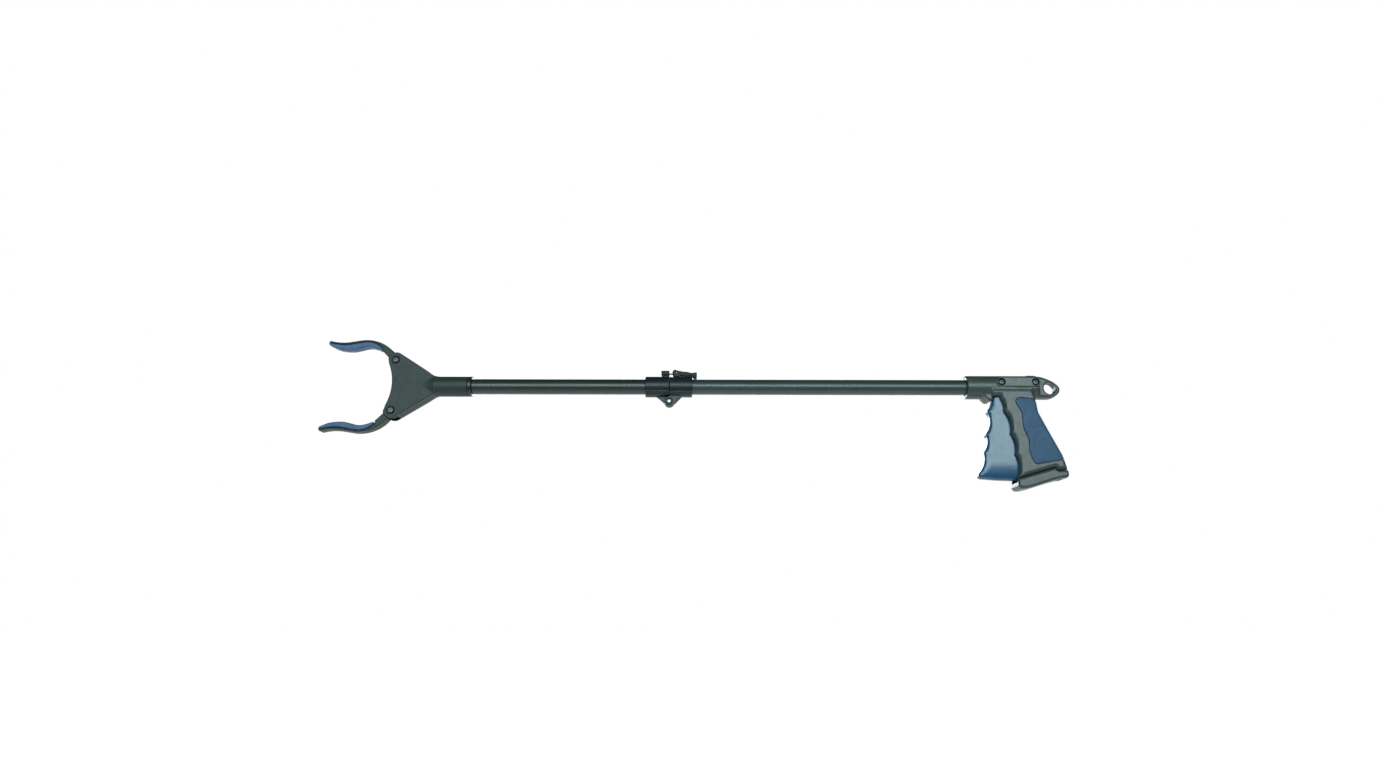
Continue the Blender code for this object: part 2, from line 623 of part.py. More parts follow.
def build_head():
    body = prism("head", head_outline(), -HEAD_HALF, HEAD_HALF, 0.8, 2)
    socket = [(0.0, -577.6), (SOCKET_R, -577.6), (SOCKET_R, -613.0), (7.0, -622.5), (0.0, -622.5)]
    join(body, turned("socket", socket, "X", (0.0, 0.0, 0.0)))
    cut(body, prism("pocket", head_pocket_outline(), -HEAD_POCKET_HALF, HEAD_POCKET_HALF))
    cut(body, rod("tube_bore", TUBE_R + FIT, TUBE_FRONT_END_X - 0.6, -570, "X"))
    cut(body, rod("cable_bore", 5.4, -618.0, -600, "X", steps=24))
    for side in (-1, 1):
        centre = (JAW_PIVOT[0], side * JAW_PIVOT[1])
        cut(body, stepped_hole(centre, 4.3, -HEAD_HALF + 0.9, 1.7 + FIT, HEAD_HALF - 1.0, 3.9))
    body = baked_tool(body)
    for name, side in (("left", -1), ("right", 1)):
        shell = mesh_object("half", body.data.copy())
        low, high = sorted((side * FIT, side * 40.0))
        combine(shell, box("keep", (-700, low, -60), (-560, high, 60)), "INTERSECT")
        finish(shell, "head_shell_" + name, MOULDED, FOLD_PIN)
    collar = ring("collar", SOCKET_R + 0.1, TUBE_R + FIT, -577.3, -573.6, "X", edge=1.0)
    finish(collar, "socket_end_ring", COLLAR, FOLD_PIN)
    finish(ring("seat", 5.2, 1.5, -617.2, -615.4, "X", steps=24), "spring_seat", PLATED, FOLD_PIN)
    for name, side in (("upper", 1), ("lower", -1)):
        centre = (JAW_PIVOT[0], side * JAW_PIVOT[1])
        pivot = screw_shape("screw", centre, 3.5, -HEAD_HALF - 0.7, -HEAD_HALF + 0.6, 1.7, 7.6)
        finish(pivot, "jaw_pivot_screw_" + name, SCREW_BLACK, FOLD_PIN)
        place = (centre[0], 0.0, centre[1])
        nut = turned("nut", [(2.0, 8.9), (3.5, 8.9), (3.5, 7.3), (2.0, 7.3)], "Y", place, 6, closed=True)
        finish(nut, "jaw_pivot_nut_" + name, SCREW_BLACK, FOLD_PIN)


def build_crosshead():
    """The bar that the cable pulls, with an eye and a pin for each jaw."""
    x, z = PULL_PIN_X, PULL_PIN_Z
    half = arc((x, z), 2.7, 10, 190, 8) + [(x - 2.2, z - 2.2), (-652.2, z - 3.4)]
    outline = half + [(px, -pz) for px, pz in reversed(half)] + [(-646.6, -z + 4.0), (-646.6, z - 4.0)]
    bar = prism("bar", outline, -1.6, 1.6)
    join(bar, rod("hub", 4.0, -648.0, -639.2, "X", steps=24))
    for side in (-1, 1):
        join(bar, rod("peg", 1.4, -5.4, 5.4, "Y", (x, 0.0, side * z), PIN_SEGMENTS))
    cut(bar, rod("cable_hole", 1.2, -645.0, -630.0, "X", steps=16))
    finish(bar, "crosshead", PLATED)
    coil = []
    turns, per_turn = 6, 14
    start, end, radius = -638.4, -617.9, 3.4
    for index in range(turns * per_turn + 1):
        angle = 2 * math.pi * index / per_turn
        along = start + (end - start) * index / (turns * per_turn)
        coil.append((along, radius * math.cos(angle), radius * math.sin(angle)))
    finish(wire("coil", coil, 0.45), "return_spring", PLATED)


# ------------------------------------------------------------------ jaws

def jaw_outer():
    """The jaw's back, from its tip to its root."""
    return smooth([(-727.2, 48.8), (-719.5, 47.3), (-710.0, 47.0), (-700.0, 48.4), (-690.0, 49.8),
                   (-680.5, 49.0), (-671.5, 46.0), (-663.5, 40.9), (-658.3, 35.4)])


def jaw_joint_line():
    """Where the soft pad meets the jaw's back, from tip to root."""
    return smooth([(-728.2, 46.5), (-719.5, 44.8), (-710.0, 44.2), (-701.0, 45.2), (-691.5, 46.9),
                   (-684.0, 47.0), (-677.0, 45.0), (-670.2, 40.6)])


def jaw_inner():
    """The gripping face, from the pad's root end to its tip."""
    return smooth([(-672.8, 38.6), (-678.0, 40.6), (-684.5, 42.2), (-689.5, 41.9), (-696.5, 40.1),
                   (-703.5, 38.7), (-712.0, 38.9), (-719.5, 40.3), (-726.2, 43.0)])


def build_jaws():
    x, z = JAW_PIVOT
    lean = math.atan2(PULL_STROKE / 2, PULL_ARM)
    corner = (3.1, -8.6)
    tail = [(x + side * corner[0] * math.cos(lean) + corner[1] * math.sin(lean),
             z - side * corner[0] * math.sin(lean) + corner[1] * math.cos(lean)) for side in (1, -1)]
    root = [(x - 3.6, z + 5.4)] + arc(JAW_PIVOT, 6.2, 100, 0, 8)
    throat = [(x - 5.4, z - 1.0), (-664.2, 30.9), (-668.4, 35.3), (-671.0, 37.6)]
    back = jaw_outer() + root + tail + throat + list(reversed(jaw_joint_line()))
    pad = [(px, pz - GAP) for px, pz in jaw_joint_line()] + jaw_inner()
    for name, side in (("upper", 1), ("lower", -1)):
        outline = back if side > 0 else mirrored(back)
        arm = prism("jaw", outline, -JAW_HALF, JAW_HALF, 0.9, 2)
        place = (x, 0.0, side * z)
        cut(arm, rod("pivot_hole", 1.7 + FIT, -20, 20, "Y", place, PIN_SEGMENTS))
        turn = Matrix.Translation(Vector(place) * MM) @ Matrix.Rotation(side * lean, 4, "Y")
        fork = box("fork", (-9.0, -2.0, -14.0), (9.0, 2.0, -3.3))
        slot = box("slot", (-1.52, -9.0, -14.0), (1.52, 9.0, -4.9))
        for tool in (fork, slot):
            tool.data.transform(Matrix.Scale(side, 4, (0.0, 0.0, 1.0)))
            if side < 0:
                tool.data.flip_normals()
            tool.data.transform(turn)
            cut(arm, tool)
        finish(arm, "jaw_" + name, MOULDED, (x, side * z))
        outline = pad if side > 0 else mirrored(pad)
        soft = prism("pad", outline, -JAW_HALF, JAW_HALF, 0.6, 1)
        finish(soft, "jaw_pad_" + name, RUBBER, (x, side * z))


build_handle()
build_trigger()
build_tubes()
build_cables()
build_fold()
build_cam_lever()
build_head()
build_crosshead()
build_jaws()
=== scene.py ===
"""Folding reacher grabber: the finished looks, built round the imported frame.

Lengths in the shape functions are millimetres; MM turns them into metres.
"""
import json
import math

import bmesh
import bpy
import numpy as np
from mathutils import Matrix, Vector


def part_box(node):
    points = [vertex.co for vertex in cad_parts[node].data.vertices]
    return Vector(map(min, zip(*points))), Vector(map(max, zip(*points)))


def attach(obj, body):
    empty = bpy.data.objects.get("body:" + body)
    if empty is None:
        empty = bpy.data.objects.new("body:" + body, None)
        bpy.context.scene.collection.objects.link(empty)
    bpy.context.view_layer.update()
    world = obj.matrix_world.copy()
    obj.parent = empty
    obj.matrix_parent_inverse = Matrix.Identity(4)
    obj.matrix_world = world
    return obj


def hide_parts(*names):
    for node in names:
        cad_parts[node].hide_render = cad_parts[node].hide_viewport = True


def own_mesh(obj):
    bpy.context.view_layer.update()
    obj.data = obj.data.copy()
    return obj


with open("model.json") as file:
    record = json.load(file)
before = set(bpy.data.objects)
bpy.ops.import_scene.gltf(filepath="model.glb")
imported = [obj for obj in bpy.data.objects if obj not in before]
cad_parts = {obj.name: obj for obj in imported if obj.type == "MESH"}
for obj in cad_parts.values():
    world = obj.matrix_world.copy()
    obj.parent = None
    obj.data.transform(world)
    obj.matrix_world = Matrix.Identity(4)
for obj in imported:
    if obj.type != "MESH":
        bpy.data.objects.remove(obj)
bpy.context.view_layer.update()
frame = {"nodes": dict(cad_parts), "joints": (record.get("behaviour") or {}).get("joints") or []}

MM = 0.001
STAGE = bpy.context.scene.collection


# ------------------------------------------------ measures from the frame

def joint_place(name):
    """A hinge's place in the XZ plane, in millimetres."""
    joint = next(item for item in frame["joints"] if item["name"] == name)
    return joint["pos_m"][0] / MM, joint["pos_m"][2] / MM


def span(node, axis):
    """A node's lowest and highest value along an axis, in millimetres."""
    low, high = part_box(node)
    return low[axis] / MM, high[axis] / MM


X, Y, Z = 0, 1, 2
TRIGGER_PIVOT = joint_place("trigger_squeeze")
FOLD_PIN = joint_place("tube_fold")
CAM_PIVOT = joint_place("cam_lever_turn")
JAW_PIVOT = joint_place("upper_jaw_close")
TUBE_R = span("rear_tube", Z)[1]
COLLAR_R = -span("front_collar", Y)[0]
FOLD_X = (span("front_tube", X)[1] + span("rear_tube", X)[0]) / 2
FRONT_TUBE = span("front_tube", X)
REAR_TUBE = span("rear_tube", X)
FRONT_COLLAR_START = span("front_collar", X)[0]
REAR_COLLAR_END = span("rear_collar", X)[1]
SOCKET_RING = span("socket_end_ring", X)
SOCKET_R = span("socket_end_ring", Z)[1] - 0.1
SLEEVE_FRONT = span("handle_shell_left", X)[0]
SLEEVE_R = 12.25
HEAD_HALF = 8.0
HEAD_POCKET_HALF = 6.3
JAW_HALF = span("jaw_upper", Y)[1]
GRIP_HALF = span("base_cap", Y)[1]
LAND_HALF = GRIP_HALF - 0.1
TRIGGER_HALF = span("trigger", Y)[1]
SLOT_HALF = 7.4
HOUSING_SCREW = (sum(span("housing_screw", X)) / 2, sum(span("housing_screw", Z)) / 2)
CAP_SCREW_X = sum(span("base_cap_screw", X)) / 2
TAIL_EYE = (29.7, -1.8)
TAIL_EYE_R = 6.15
ROD_Z = sum(span("latch_draw_rod", Z)) / 2
LUG_INNER, LUG_OUTER = 2.0, 4.4
GAP = 0.3
FIT = 0.15
FINE = 96                    # facets of a large round
ROUND = 48                   # facets of a small round


# -------------------------------------------------------------- materials

def nodes_of(name):
    """A new node material, its tree and its shader."""
    made = bpy.data.materials.new(name)
    made.use_nodes = True
    tree = made.node_tree
    return made, tree, tree.nodes["Principled BSDF"]


def noise(tree, where, scale, detail=3.0, stretch=(1.0, 1.0, 1.0)):
    """A noise pattern fixed to the object, scale in cycles per metre."""
    mapping = tree.nodes.new("ShaderNodeMapping")
    mapping.inputs["Scale"].default_value = stretch
    tree.links.new(where, mapping.inputs["Vector"])
    pattern = tree.nodes.new("ShaderNodeTexNoise")
    pattern.inputs["Scale"].default_value = scale
    pattern.inputs["Detail"].default_value = detail
    tree.links.new(mapping.outputs["Vector"], pattern.inputs["Vector"])
    return pattern.outputs["Fac"]


def spread(tree, value, low, high, from_low=0.3, from_high=0.7):
    """Map a pattern's middle range onto low to high."""
    remap = tree.nodes.new("ShaderNodeMapRange")
    remap.inputs["From Min"].default_value = from_low
    remap.inputs["From Max"].default_value = from_high
    remap.inputs["To Min"].default_value = low
    remap.inputs["To Max"].default_value = high
    tree.links.new(value, remap.inputs["Value"])
    return remap.outputs["Result"]


def between(tree, factor, first, second):
    """Mix two colours, or a socket and a colour, by a factor."""
    mix = tree.nodes.new("ShaderNodeMix")
    mix.data_type = "RGBA"
    tree.links.new(factor, mix.inputs["Factor"])
    for socket, value in ((mix.inputs["A"], first), (mix.inputs["B"], second)):
        if isinstance(value, tuple):
            socket.default_value = (*value, 1.0)
        else:
            tree.links.new(value, socket)
    return mix.outputs["Result"]


def bump(tree, shader, height, strength, distance):
    """Relief of a height pattern; distance is its depth in metres."""
    relief = tree.nodes.new("ShaderNodeBump")
    relief.inputs["Strength"].default_value = strength
    relief.inputs["Distance"].default_value = distance
    tree.links.new(height, relief.inputs["Height"])
    tree.links.new(relief.outputs["Normal"], shader.inputs["Normal"])


def scaled(colour, factor):
    return tuple(min(1.0, channel * factor) for channel in colour)


def worn(tree, colour, edge_colour, amount):
    """Lighten the raised edges, as handling does."""
    geometry = tree.nodes.new("ShaderNodeNewGeometry")
    edge = spread(tree, geometry.outputs["Pointiness"], 0.0, amount, 0.52, 0.62)
    return between(tree, edge, colour, edge_colour)


def moulded(name, colour, roughness, grain=2600.0, depth=0.00006, strength=0.35, edge=0.25,
            shine=0.5):
    """Moulded plastic: fine spark-eroded grain, faint clouding and rubbed edges."""
    made, tree, shader = nodes_of(name)
    where = tree.nodes.new("ShaderNodeTexCoord").outputs["Object"]
    cloud = spread(tree, noise(tree, where, 38.0, 4.0), 0.0, 1.0)
    base = between(tree, cloud, scaled(colour, 0.90), scaled(colour, 1.10))
    base = worn(tree, base, scaled(colour, 1.9), edge)
    tree.links.new(base, shader.inputs["Base Color"])
    patch = noise(tree, where, 160.0, 5.0)
    tree.links.new(spread(tree, patch, roughness - 0.025, roughness + 0.035), shader.inputs["Roughness"])
    shader.inputs["Specular IOR Level"].default_value = shine
    bump(tree, shader, noise(tree, where, grain, 2.0), strength, depth)
    return made


def rubber(name, colour, roughness=0.62):
    """Soft-touch rubber: a pebbled skin with a dusty bloom on it."""
    made, tree, shader = nodes_of(name)
    where = tree.nodes.new("ShaderNodeTexCoord").outputs["Object"]
    bloom = spread(tree, noise(tree, where, 60.0, 6.0), 0.0, 1.0)
    base = between(tree, bloom, scaled(colour, 0.92), scaled(colour, 1.12))
    base = worn(tree, base, scaled(colour, 1.5), 0.3)
    tree.links.new(base, shader.inputs["Base Color"])
    tree.links.new(spread(tree, noise(tree, where, 220.0), roughness - 0.06, roughness + 0.08),
                   shader.inputs["Roughness"])
    shader.inputs["Sheen Weight"].default_value = 0.15
    shader.inputs["Sheen Roughness"].default_value = 0.5
    pebbles = tree.nodes.new("ShaderNodeTexVoronoi")
    pebbles.inputs["Scale"].default_value = 2200.0
    tree.links.new(where, pebbles.inputs["Vector"])
    bump(tree, shader, pebbles.outputs["Distance"], 0.2, 0.00004)
    return made


def painted_tube(name, colour, roughness=0.3):
    """Satin paint on drawn tube: orange peel and faint lengthwise rub marks."""
    made, tree, shader = nodes_of(name)
    where = tree.nodes.new("ShaderNodeTexCoord").outputs["Object"]
    rub = noise(tree, where, 500.0, 4.0, (0.03, 1.0, 1.0))
    tone = spread(tree, noise(tree, where, 20.0, 3.0), 0.0, 1.0)
    base = between(tree, tone, scaled(colour, 0.92), scaled(colour, 1.08))
    base = between(tree, spread(tree, rub, 0.0, 0.35, 0.62, 0.78), base, scaled(colour, 2.2))
    tree.links.new(base, shader.inputs["Base Color"])
    tree.links.new(spread(tree, rub, roughness - 0.04, roughness + 0.09), shader.inputs["Roughness"])
    shader.inputs["Metallic"].default_value = 0.0
    shader.inputs["Coat Weight"].default_value = 0.25
    shader.inputs["Coat Roughness"].default_value = 0.25
    bump(tree, shader, noise(tree, where, 900.0, 2.0), 0.25, 0.00005)
    return made


def metal(name, colour, roughness, stretch=(0.05, 1.0, 1.0)):
    """Drawn or turned metal with fine tool lines."""
    made, tree, shader = nodes_of(name)
    where = tree.nodes.new("ShaderNodeTexCoord").outputs["Object"]
    lines = noise(tree, where, 2400.0, 3.0, stretch)
    base = between(tree, spread(tree, lines, 0.0, 1.0), scaled(colour, 0.82), scaled(colour, 1.08))
    tree.links.new(base, shader.inputs["Base Color"])
    shader.inputs["Metallic"].default_value = 1.0
    tree.links.new(spread(tree, lines, roughness - 0.06, roughness + 0.08), shader.inputs["Roughness"])
    bump(tree, shader, lines, 0.2, 0.00003)
    return made


CHARCOAL = moulded("charcoal_moulding", (0.016, 0.027, 0.025), 0.54, shine=0.36)
SOCKET_BLACK = moulded("socket_end_moulding", (0.010, 0.015, 0.017), 0.35, edge=0.1)
GRAPHITE = moulded("graphite_moulding", (0.007, 0.012, 0.016), 0.40, 1800.0, 0.00004, shine=0.34)
GRAPHITE_MATT = moulded("matt_graphite_moulding", (0.006, 0.011, 0.014), 0.55, 1800.0, 0.00004,
                        shine=0.25)
OLIVE_GREY = moulded("olive_grey_moulding", (0.036, 0.050, 0.046), 0.38)
BLUE_RUBBER = rubber("blue_rubber", (0.014, 0.056, 0.122))
JAW_RUBBER = rubber("blue_jaw_rubber", (0.030, 0.076, 0.170), 0.55)
BLUE_MOULDING = moulded("blue_moulding", (0.018, 0.068, 0.135), 0.24, 3200.0, 0.00002, 0.2, 0.15)
TUBE_PAINT = painted_tube("satin_tube_paint", (0.020, 0.034, 0.036), 0.4)
FRONT_PAINT = painted_tube("satin_front_tube_paint", (0.010, 0.017, 0.016), 0.4)
BLACK_SCREW = metal("blackened_steel", (0.035, 0.036, 0.040), 0.22)
PLATED = metal("plated_steel", (0.30, 0.33, 0.34), 0.42)
CABLE_STEEL = metal("cable_steel", (0.50, 0.51, 0.52), 0.35, (1.0, 1.0, 1.0))


# ------------------------------------------------------- shape building

def mesh_object(name, mesh):
    item = bpy.data.objects.new(name, mesh)
    STAGE.objects.link(item)
    return item


def from_work(name, work):
    mesh = bpy.data.meshes.new(name)
    bmesh.ops.recalc_face_normals(work, faces=work.faces)
    work.to_mesh(mesh)
    work.free()
    return mesh_object(name, mesh)


def baked(item):
    """Apply an object's modifiers and drop them."""
    graph = bpy.context.evaluated_depsgraph_get()
    mesh = bpy.data.meshes.new_from_object(item.evaluated_get(graph))
    old = item.data
    item.modifiers.clear()
    item.data = mesh
    bpy.data.meshes.remove(old)
    return item


AXES = {
    X: Matrix.Rotation(math.pi / 2, 4, "Y"),
    Y: Matrix.Rotation(-math.pi / 2, 4, "X"),
    Z: Matrix.Identity(4),
}


def turned(name, profile, axis, centre=(0.0, 0.0, 0.0), steps=FINE, closed=False):
    """A (radius, height) profile turned about an axis through a point."""
    work = bmesh.new()
    verts = [work.verts.new((radius * MM, 0.0, height * MM)) for radius, height in profile]
    pairs = list(zip(verts, verts[1:]))
    if closed:
        pairs.append((verts[-1], verts[0]))
    edges = [work.edges.new(pair) for pair in pairs]
    bmesh.ops.spin(work, geom=verts + edges, cent=(0, 0, 0), axis=(0, 0, 1),
                   angle=2 * math.pi, steps=steps, use_merge=True)
    bmesh.ops.remove_doubles(work, verts=work.verts, dist=1e-7)
    loose = [vert for vert in work.verts if not vert.link_faces]
    bmesh.ops.delete(work, geom=loose, context="VERTS")
    bmesh.ops.transform(work, matrix=Matrix.Translation(Vector(centre) * MM) @ AXES[axis],
                        verts=work.verts)
    return from_work(name, work)


def rod(name, radius, low, high, axis, centre=(0.0, 0.0, 0.0), steps=FINE, edge=0.0):
    """A cylinder with softly rounded ends."""
    profile = [(0.0, high)] + rounded_corner((radius, high), edge, 1)
    profile += rounded_corner((radius, low), edge, -1) + [(0.0, low)]
    return turned(name, profile, axis, centre, steps)


def rounded_corner(corner, radius, side, steps=4):
    """Points round a turned profile's outer corner, going down the profile."""
    r, h = corner
    if not radius:
        return [corner]
    points = []
    for index in range(steps + 1):
        angle = math.pi / 2 * index / steps
        if side < 0:
            angle = math.pi / 2 - angle
        points.append((r - radius + radius * math.sin(angle),
                       h - side * (radius - radius * math.cos(angle))))
    return points


def box(name, low, high):
    work = bmesh.new()
    bmesh.ops.create_cube(work, size=1.0)
    size = [(b - a) * MM for a, b in zip(low, high)]
    middle = [(a + b) / 2 * MM for a, b in zip(low, high)]
    bmesh.ops.scale(work, verts=work.verts, vec=size)
    bmesh.ops.translate(work, verts=work.verts, vec=middle)
    return from_work(name, work)


def combine(item, other, operation):
    step = item.modifiers.new(operation, "BOOLEAN")
    step.operation = operation
    step.solver = "EXACT"
    step.object = other
    baked(item)
    bpy.data.objects.remove(other, do_unlink=True)
    return item


def cut(item, *others):
    for other in others:
        combine(item, other, "DIFFERENCE")
    return item


def shade(item, angle=35.0):
    item.data.shade_smooth()
    item.data.set_sharp_from_angle(angle=math.radians(angle))
    return item


def piece(item, name, body, slot, surface, *replaced, angle=35.0):
    """Finish a piece: its name, material, body and the nodes it stands for."""
    shade(item, angle)
    item.name = name
    item.data.name = name
    item.data.materials.clear()
    item.data.materials.append(surface)
    if replaced:
        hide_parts(*replaced)
    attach(item, body)
    return item


# -------------------------------------------------------------- outlines

def arc(centre, radius, start, end, count):
    """Points round a centre in the XZ plane; angles in degrees from +X to +Z."""
    x, z = centre
    points = []
    for index in range(count + 1):
        angle = math.radians(start + (end - start) * index / count)
        points.append((x + radius * math.cos(angle), z + radius * math.sin(angle)))
    return points


def bowed(start, end, bow, count=12):
    """Points of a shallow arc from start to end, bowed to the left of travel."""
    (x0, z0), (x1, z1) = start, end
    length = math.hypot(x1 - x0, z1 - z0)
    side = (-(z1 - z0) / length, (x1 - x0) / length)
    points = []
    for index in range(count):
        t = index / count
        lift = bow * 4 * t * (1 - t)
        points.append((x0 + (x1 - x0) * t + side[0] * lift, z0 + (z1 - z0) * t + side[1] * lift))
    return points


def scalloped(tips, bows):
    """Finger grooves between tips, each an arc bowed by its own depth."""
    points = []
    for start, end, bow in zip(tips, tips[1:], bows):
        points += bowed(start, end, bow)
    return points + [tips[-1]]


def smooth(points, per=6):
    """A Catmull-Rom curve through the points, with per steps in each span."""
    padded = [points[0]] + list(points) + [points[-1]]
    result = []
    for p0, p1, p2, p3 in zip(padded, padded[1:], padded[2:], padded[3:]):
        for index in range(per):
            t = index / per
            result.append(tuple(
                0.5 * (2 * b + (c - a) * t + (2 * a - 5 * b + 4 * c - d) * t * t
                       + (3 * b - a - 3 * c + d) * t ** 3)
                for a, b, c, d in zip(p0, p1, p2, p3)))
    return result + [points[-1]]


def mirrored(outline):
    """The outline on the other side of the tube's axis."""
    return [(x, -z) for x, z in reversed(outline)]


def softened(outline, reach=0.9):
    """The outline with its sharp corners cut to short curves."""
    result = []
    count = len(outline)
    for index, point in enumerate(outline):
        before = Vector(outline[index - 1])
        here = Vector(point)
        after = Vector(outline[(index + 1) % count])
        into, out = here - before, after - here
        if into.length < 1e-6 or out.length < 1e-6:
            continue
        if into.angle(out) < math.radians(22):
            result.append(tuple(here))
            continue
        start = here - into.normalized() * min(reach, into.length * 0.45)
        end = here + out.normalized() * min(reach, out.length * 0.45)
        for t in (0.0, 0.25, 0.5, 0.75, 1.0):
            result.append(tuple(start * (1 - t) ** 2 + here * 2 * t * (1 - t) + end * t * t))
    return result


# ------------------------------------------------------ distance fields
# A field is a distance in millimetres, below zero inside the solid.

def outline_field(outline):
    """Signed distance in the XZ plane to a closed outline."""
    points = [tuple(point) for point in outline]
    sides = [(start, end) for start, end in zip(points, points[1:] + points[:1])
             if math.dist(start, end) > 1e-6]

    def field(x, z):
        nearest = np.full(np.broadcast(x, z).shape, 1e9)
        inside = np.zeros(nearest.shape, bool)
        for (ax, az), (bx, bz) in sides:
            run_x, run_z = bx - ax, bz - az
            px, pz = x - ax, z - az
            along = np.clip((px * run_x + pz * run_z) / (run_x ** 2 + run_z ** 2), 0.0, 1.0)
            nearest = np.minimum(nearest, (px - run_x * along) ** 2 + (pz - run_z * along) ** 2)
            if abs(run_z) > 1e-12:
                inside ^= ((az > z) != (bz > z)) & (px < run_x * pz / run_z)
        return np.where(inside, -1.0, 1.0) * np.sqrt(nearest)
    return field


def both(first, second, radius=0.0):
    """Where two fields overlap, the edge between them rounded."""
    a, b = first + radius, second + radius
    outside = np.hypot(np.maximum(a, 0.0), np.maximum(b, 0.0))
    return np.minimum(np.maximum(a, b), 0.0) + outside - radius


def joined(first, second, fillet=0.01):
    """Two fields together, with a fillet where they meet."""
    near = np.maximum(fillet - np.abs(first - second), 0.0) / fillet
    return np.minimum(first, second) - near * near * fillet / 4


def without(first, second, soft=0.3):
    """The first field with the second taken away, the rim softened."""
    return -joined(-first, second, soft)


def slab(y, low, high):
    return np.abs(y - (low + high) / 2) - (high - low) / 2


def plate(field, x, y, z, low, high, radius):
    """An outline given thickness along Y, its rims rounded."""
    return both(field(x, z), slab(y, low, high), radius)


def pin_hole(x, y, z, centre, radius, low=-99.0, high=99.0):
    """A cylinder along Y."""
    return both(np.hypot(x - centre[0], z - centre[1]) - radius, slab(y, low, high))


def barrel(x, y, z, radius, low, high, low_edge=0.0, high_edge=0.0):
    """A cylinder along X."""
    side = np.hypot(y, z) - radius
    return both(both(side, x - high, high_edge), low - x, low_edge)


def block(x, y, z, low, high, radius=0.0):
    """A box between two corners."""
    flat = both(slab(x, low[0], high[0]), slab(z, low[2], high[2]), radius)
    return both(flat, slab(y, low[1], high[1]), radius)


CORNERS = [(i, j, k) for i in (0, 1) for j in (0, 1) for k in (0, 1)]
CELL_EDGES = [(a, b) for a in range(8) for b in range(a + 1, 8)
              if sum(p != q for p, q in zip(CORNERS[a], CORNERS[b])) == 1]


def skin(name, field, low, high, cell):
    """The surface of a field: one point in each crossed cell, then drawn onto the surface."""
    axes = [np.arange(a - cell, b + 2 * cell, cell) for a, b in zip(low, high)]
    x, y, z = np.meshgrid(*axes, indexing="ij", sparse=True)
    values = np.broadcast_to(field(x, y, z), [len(axis) for axis in axes])
    inside = values < 0
    shape = [len(axis) - 1 for axis in axes]

    def corner(array, offset):
        return array[tuple(slice(o, o + n) for o, n in zip(offset, shape))]

    count = sum(corner(inside, offset).astype(np.int8) for offset in CORNERS)
    cells = np.argwhere((count > 0) & (count < 8))
    at = [corner(values, offset)[tuple(cells.T)] for offset in CORNERS]
    total = np.zeros((len(cells), 3))
    hits = np.zeros(len(cells))
    for a, b in CELL_EDGES:
        crossed = (at[a] < 0) != (at[b] < 0)
        step = np.where(crossed, at[a] / np.where(crossed, at[a] - at[b], 1.0), 0.0)[:, None]
        place = np.array(CORNERS[a]) * (1 - step) + np.array(CORNERS[b]) * step
        total += place * crossed[:, None]
        hits += crossed
    points = np.array([axis[0] for axis in axes]) + (cells + total / hits[:, None]) * cell

    nudge = cell * 0.02
    for _ in range(2):
        here = field(*points.T)
        slope = np.stack([(field(*(points + nudge * np.eye(3)[axis]).T) - here) / nudge
                          for axis in range(3)], axis=1)
        size = np.maximum((slope ** 2).sum(1), 0.25)
        move = -(here / size)[:, None] * slope
        limit = np.maximum(np.abs(move).max(1) / (cell * 0.5), 1.0)
        points += move / limit[:, None]

    number = np.zeros(shape, np.int64)
    number[tuple(cells.T)] = np.arange(len(cells))
    quads = []
    for axis in range(3):
        first, second = [other for other in range(3) if other != axis]
        start = [slice(1, n) for n in shape]
        start[axis] = slice(0, shape[axis])
        beyond = list(start)
        beyond[axis] = slice(1, shape[axis] + 1)
        here, there = inside[tuple(start)], inside[tuple(beyond)]
        for solid_first in (True, False):
            found = np.argwhere(here & ~there if solid_first else there & ~here)
            found = found + np.array([0 if other == axis else 1 for other in range(3)])
            ring = []
            for a, b in ((1, 1), (0, 1), (0, 0), (1, 0)):
                step = np.zeros(3, np.int64)
                step[first], step[second] = a, b
                ring.append(number[tuple((found - step).T)])
            if solid_first != (axis != 1):
                ring.reverse()
            quads.append(np.stack(ring, axis=1))
    faces = np.concatenate(quads)

    mesh = bpy.data.meshes.new(name)
    mesh.from_pydata((points * MM).tolist(), [], faces.tolist())
    mesh.update()
    return mesh_object(name, mesh)


# ---------------------------------------------------------------- handle

GRIP_TIPS = [(-23.7, -14.5), (-21.8, -27.5), (-17.5, -50.7), (-14.6, -72.1), (-13.8, -95.0)]
GRIP_BOWS = [1.4, 3.4, 2.8, 2.6]
TRIGGER_TIPS = [(-37.6, -26.1), (-41.2, -50.6), (-45.0, -69.3), (-51.9, -91.4)]
TRIGGER_BOWS = [3.8, 2.9, 3.0]
SEAM = [(-14.8, -97.2), (23.8, -86.1), (25.8, -89.0), (36.2, -88.4)]
SWEEP_R = 104.4              # the hollow's reach from the trigger's pivot
EDGE_FALL, EDGE_REACH = 1.1, 7.0
FOOT_FALL, FOOT_TOP, FOOT_REACH = 2.2, -80.0, 20.0
ANCHOR_DROP = 11.5           # from the trigger's pivot down to the cable's pin
PIN_HOLE_R = 1.65
SCREW_RECESS_R = 3.75
LAND_R = 4.9
TAIL_HALF = 6.2
CAP_BORE_R, CAP_BORE_TOP = 3.6, -93.6
SCREW_PLACES = (TRIGGER_PIVOT, HOUSING_SCREW)


def grip_outline():
    flange = [(-43.5, -3.5), (-43.0, -8.0), (-39.2, -12.6), (-36.4, -15.4), (-32.6, -15.4)]
    mouth = [(-32.6, -11.5), (-24.6, -11.5)]
    front = softened(scalloped(GRIP_TIPS, GRIP_BOWS))
    back = smooth([(33.9, -77.6), (15.1, -35.4), (12.0, -26.0), (11.6, -12.0)])
    return flange + mouth + front + SEAM + [(35.6, -84.5)] + back + [(8.3, -3.5)]


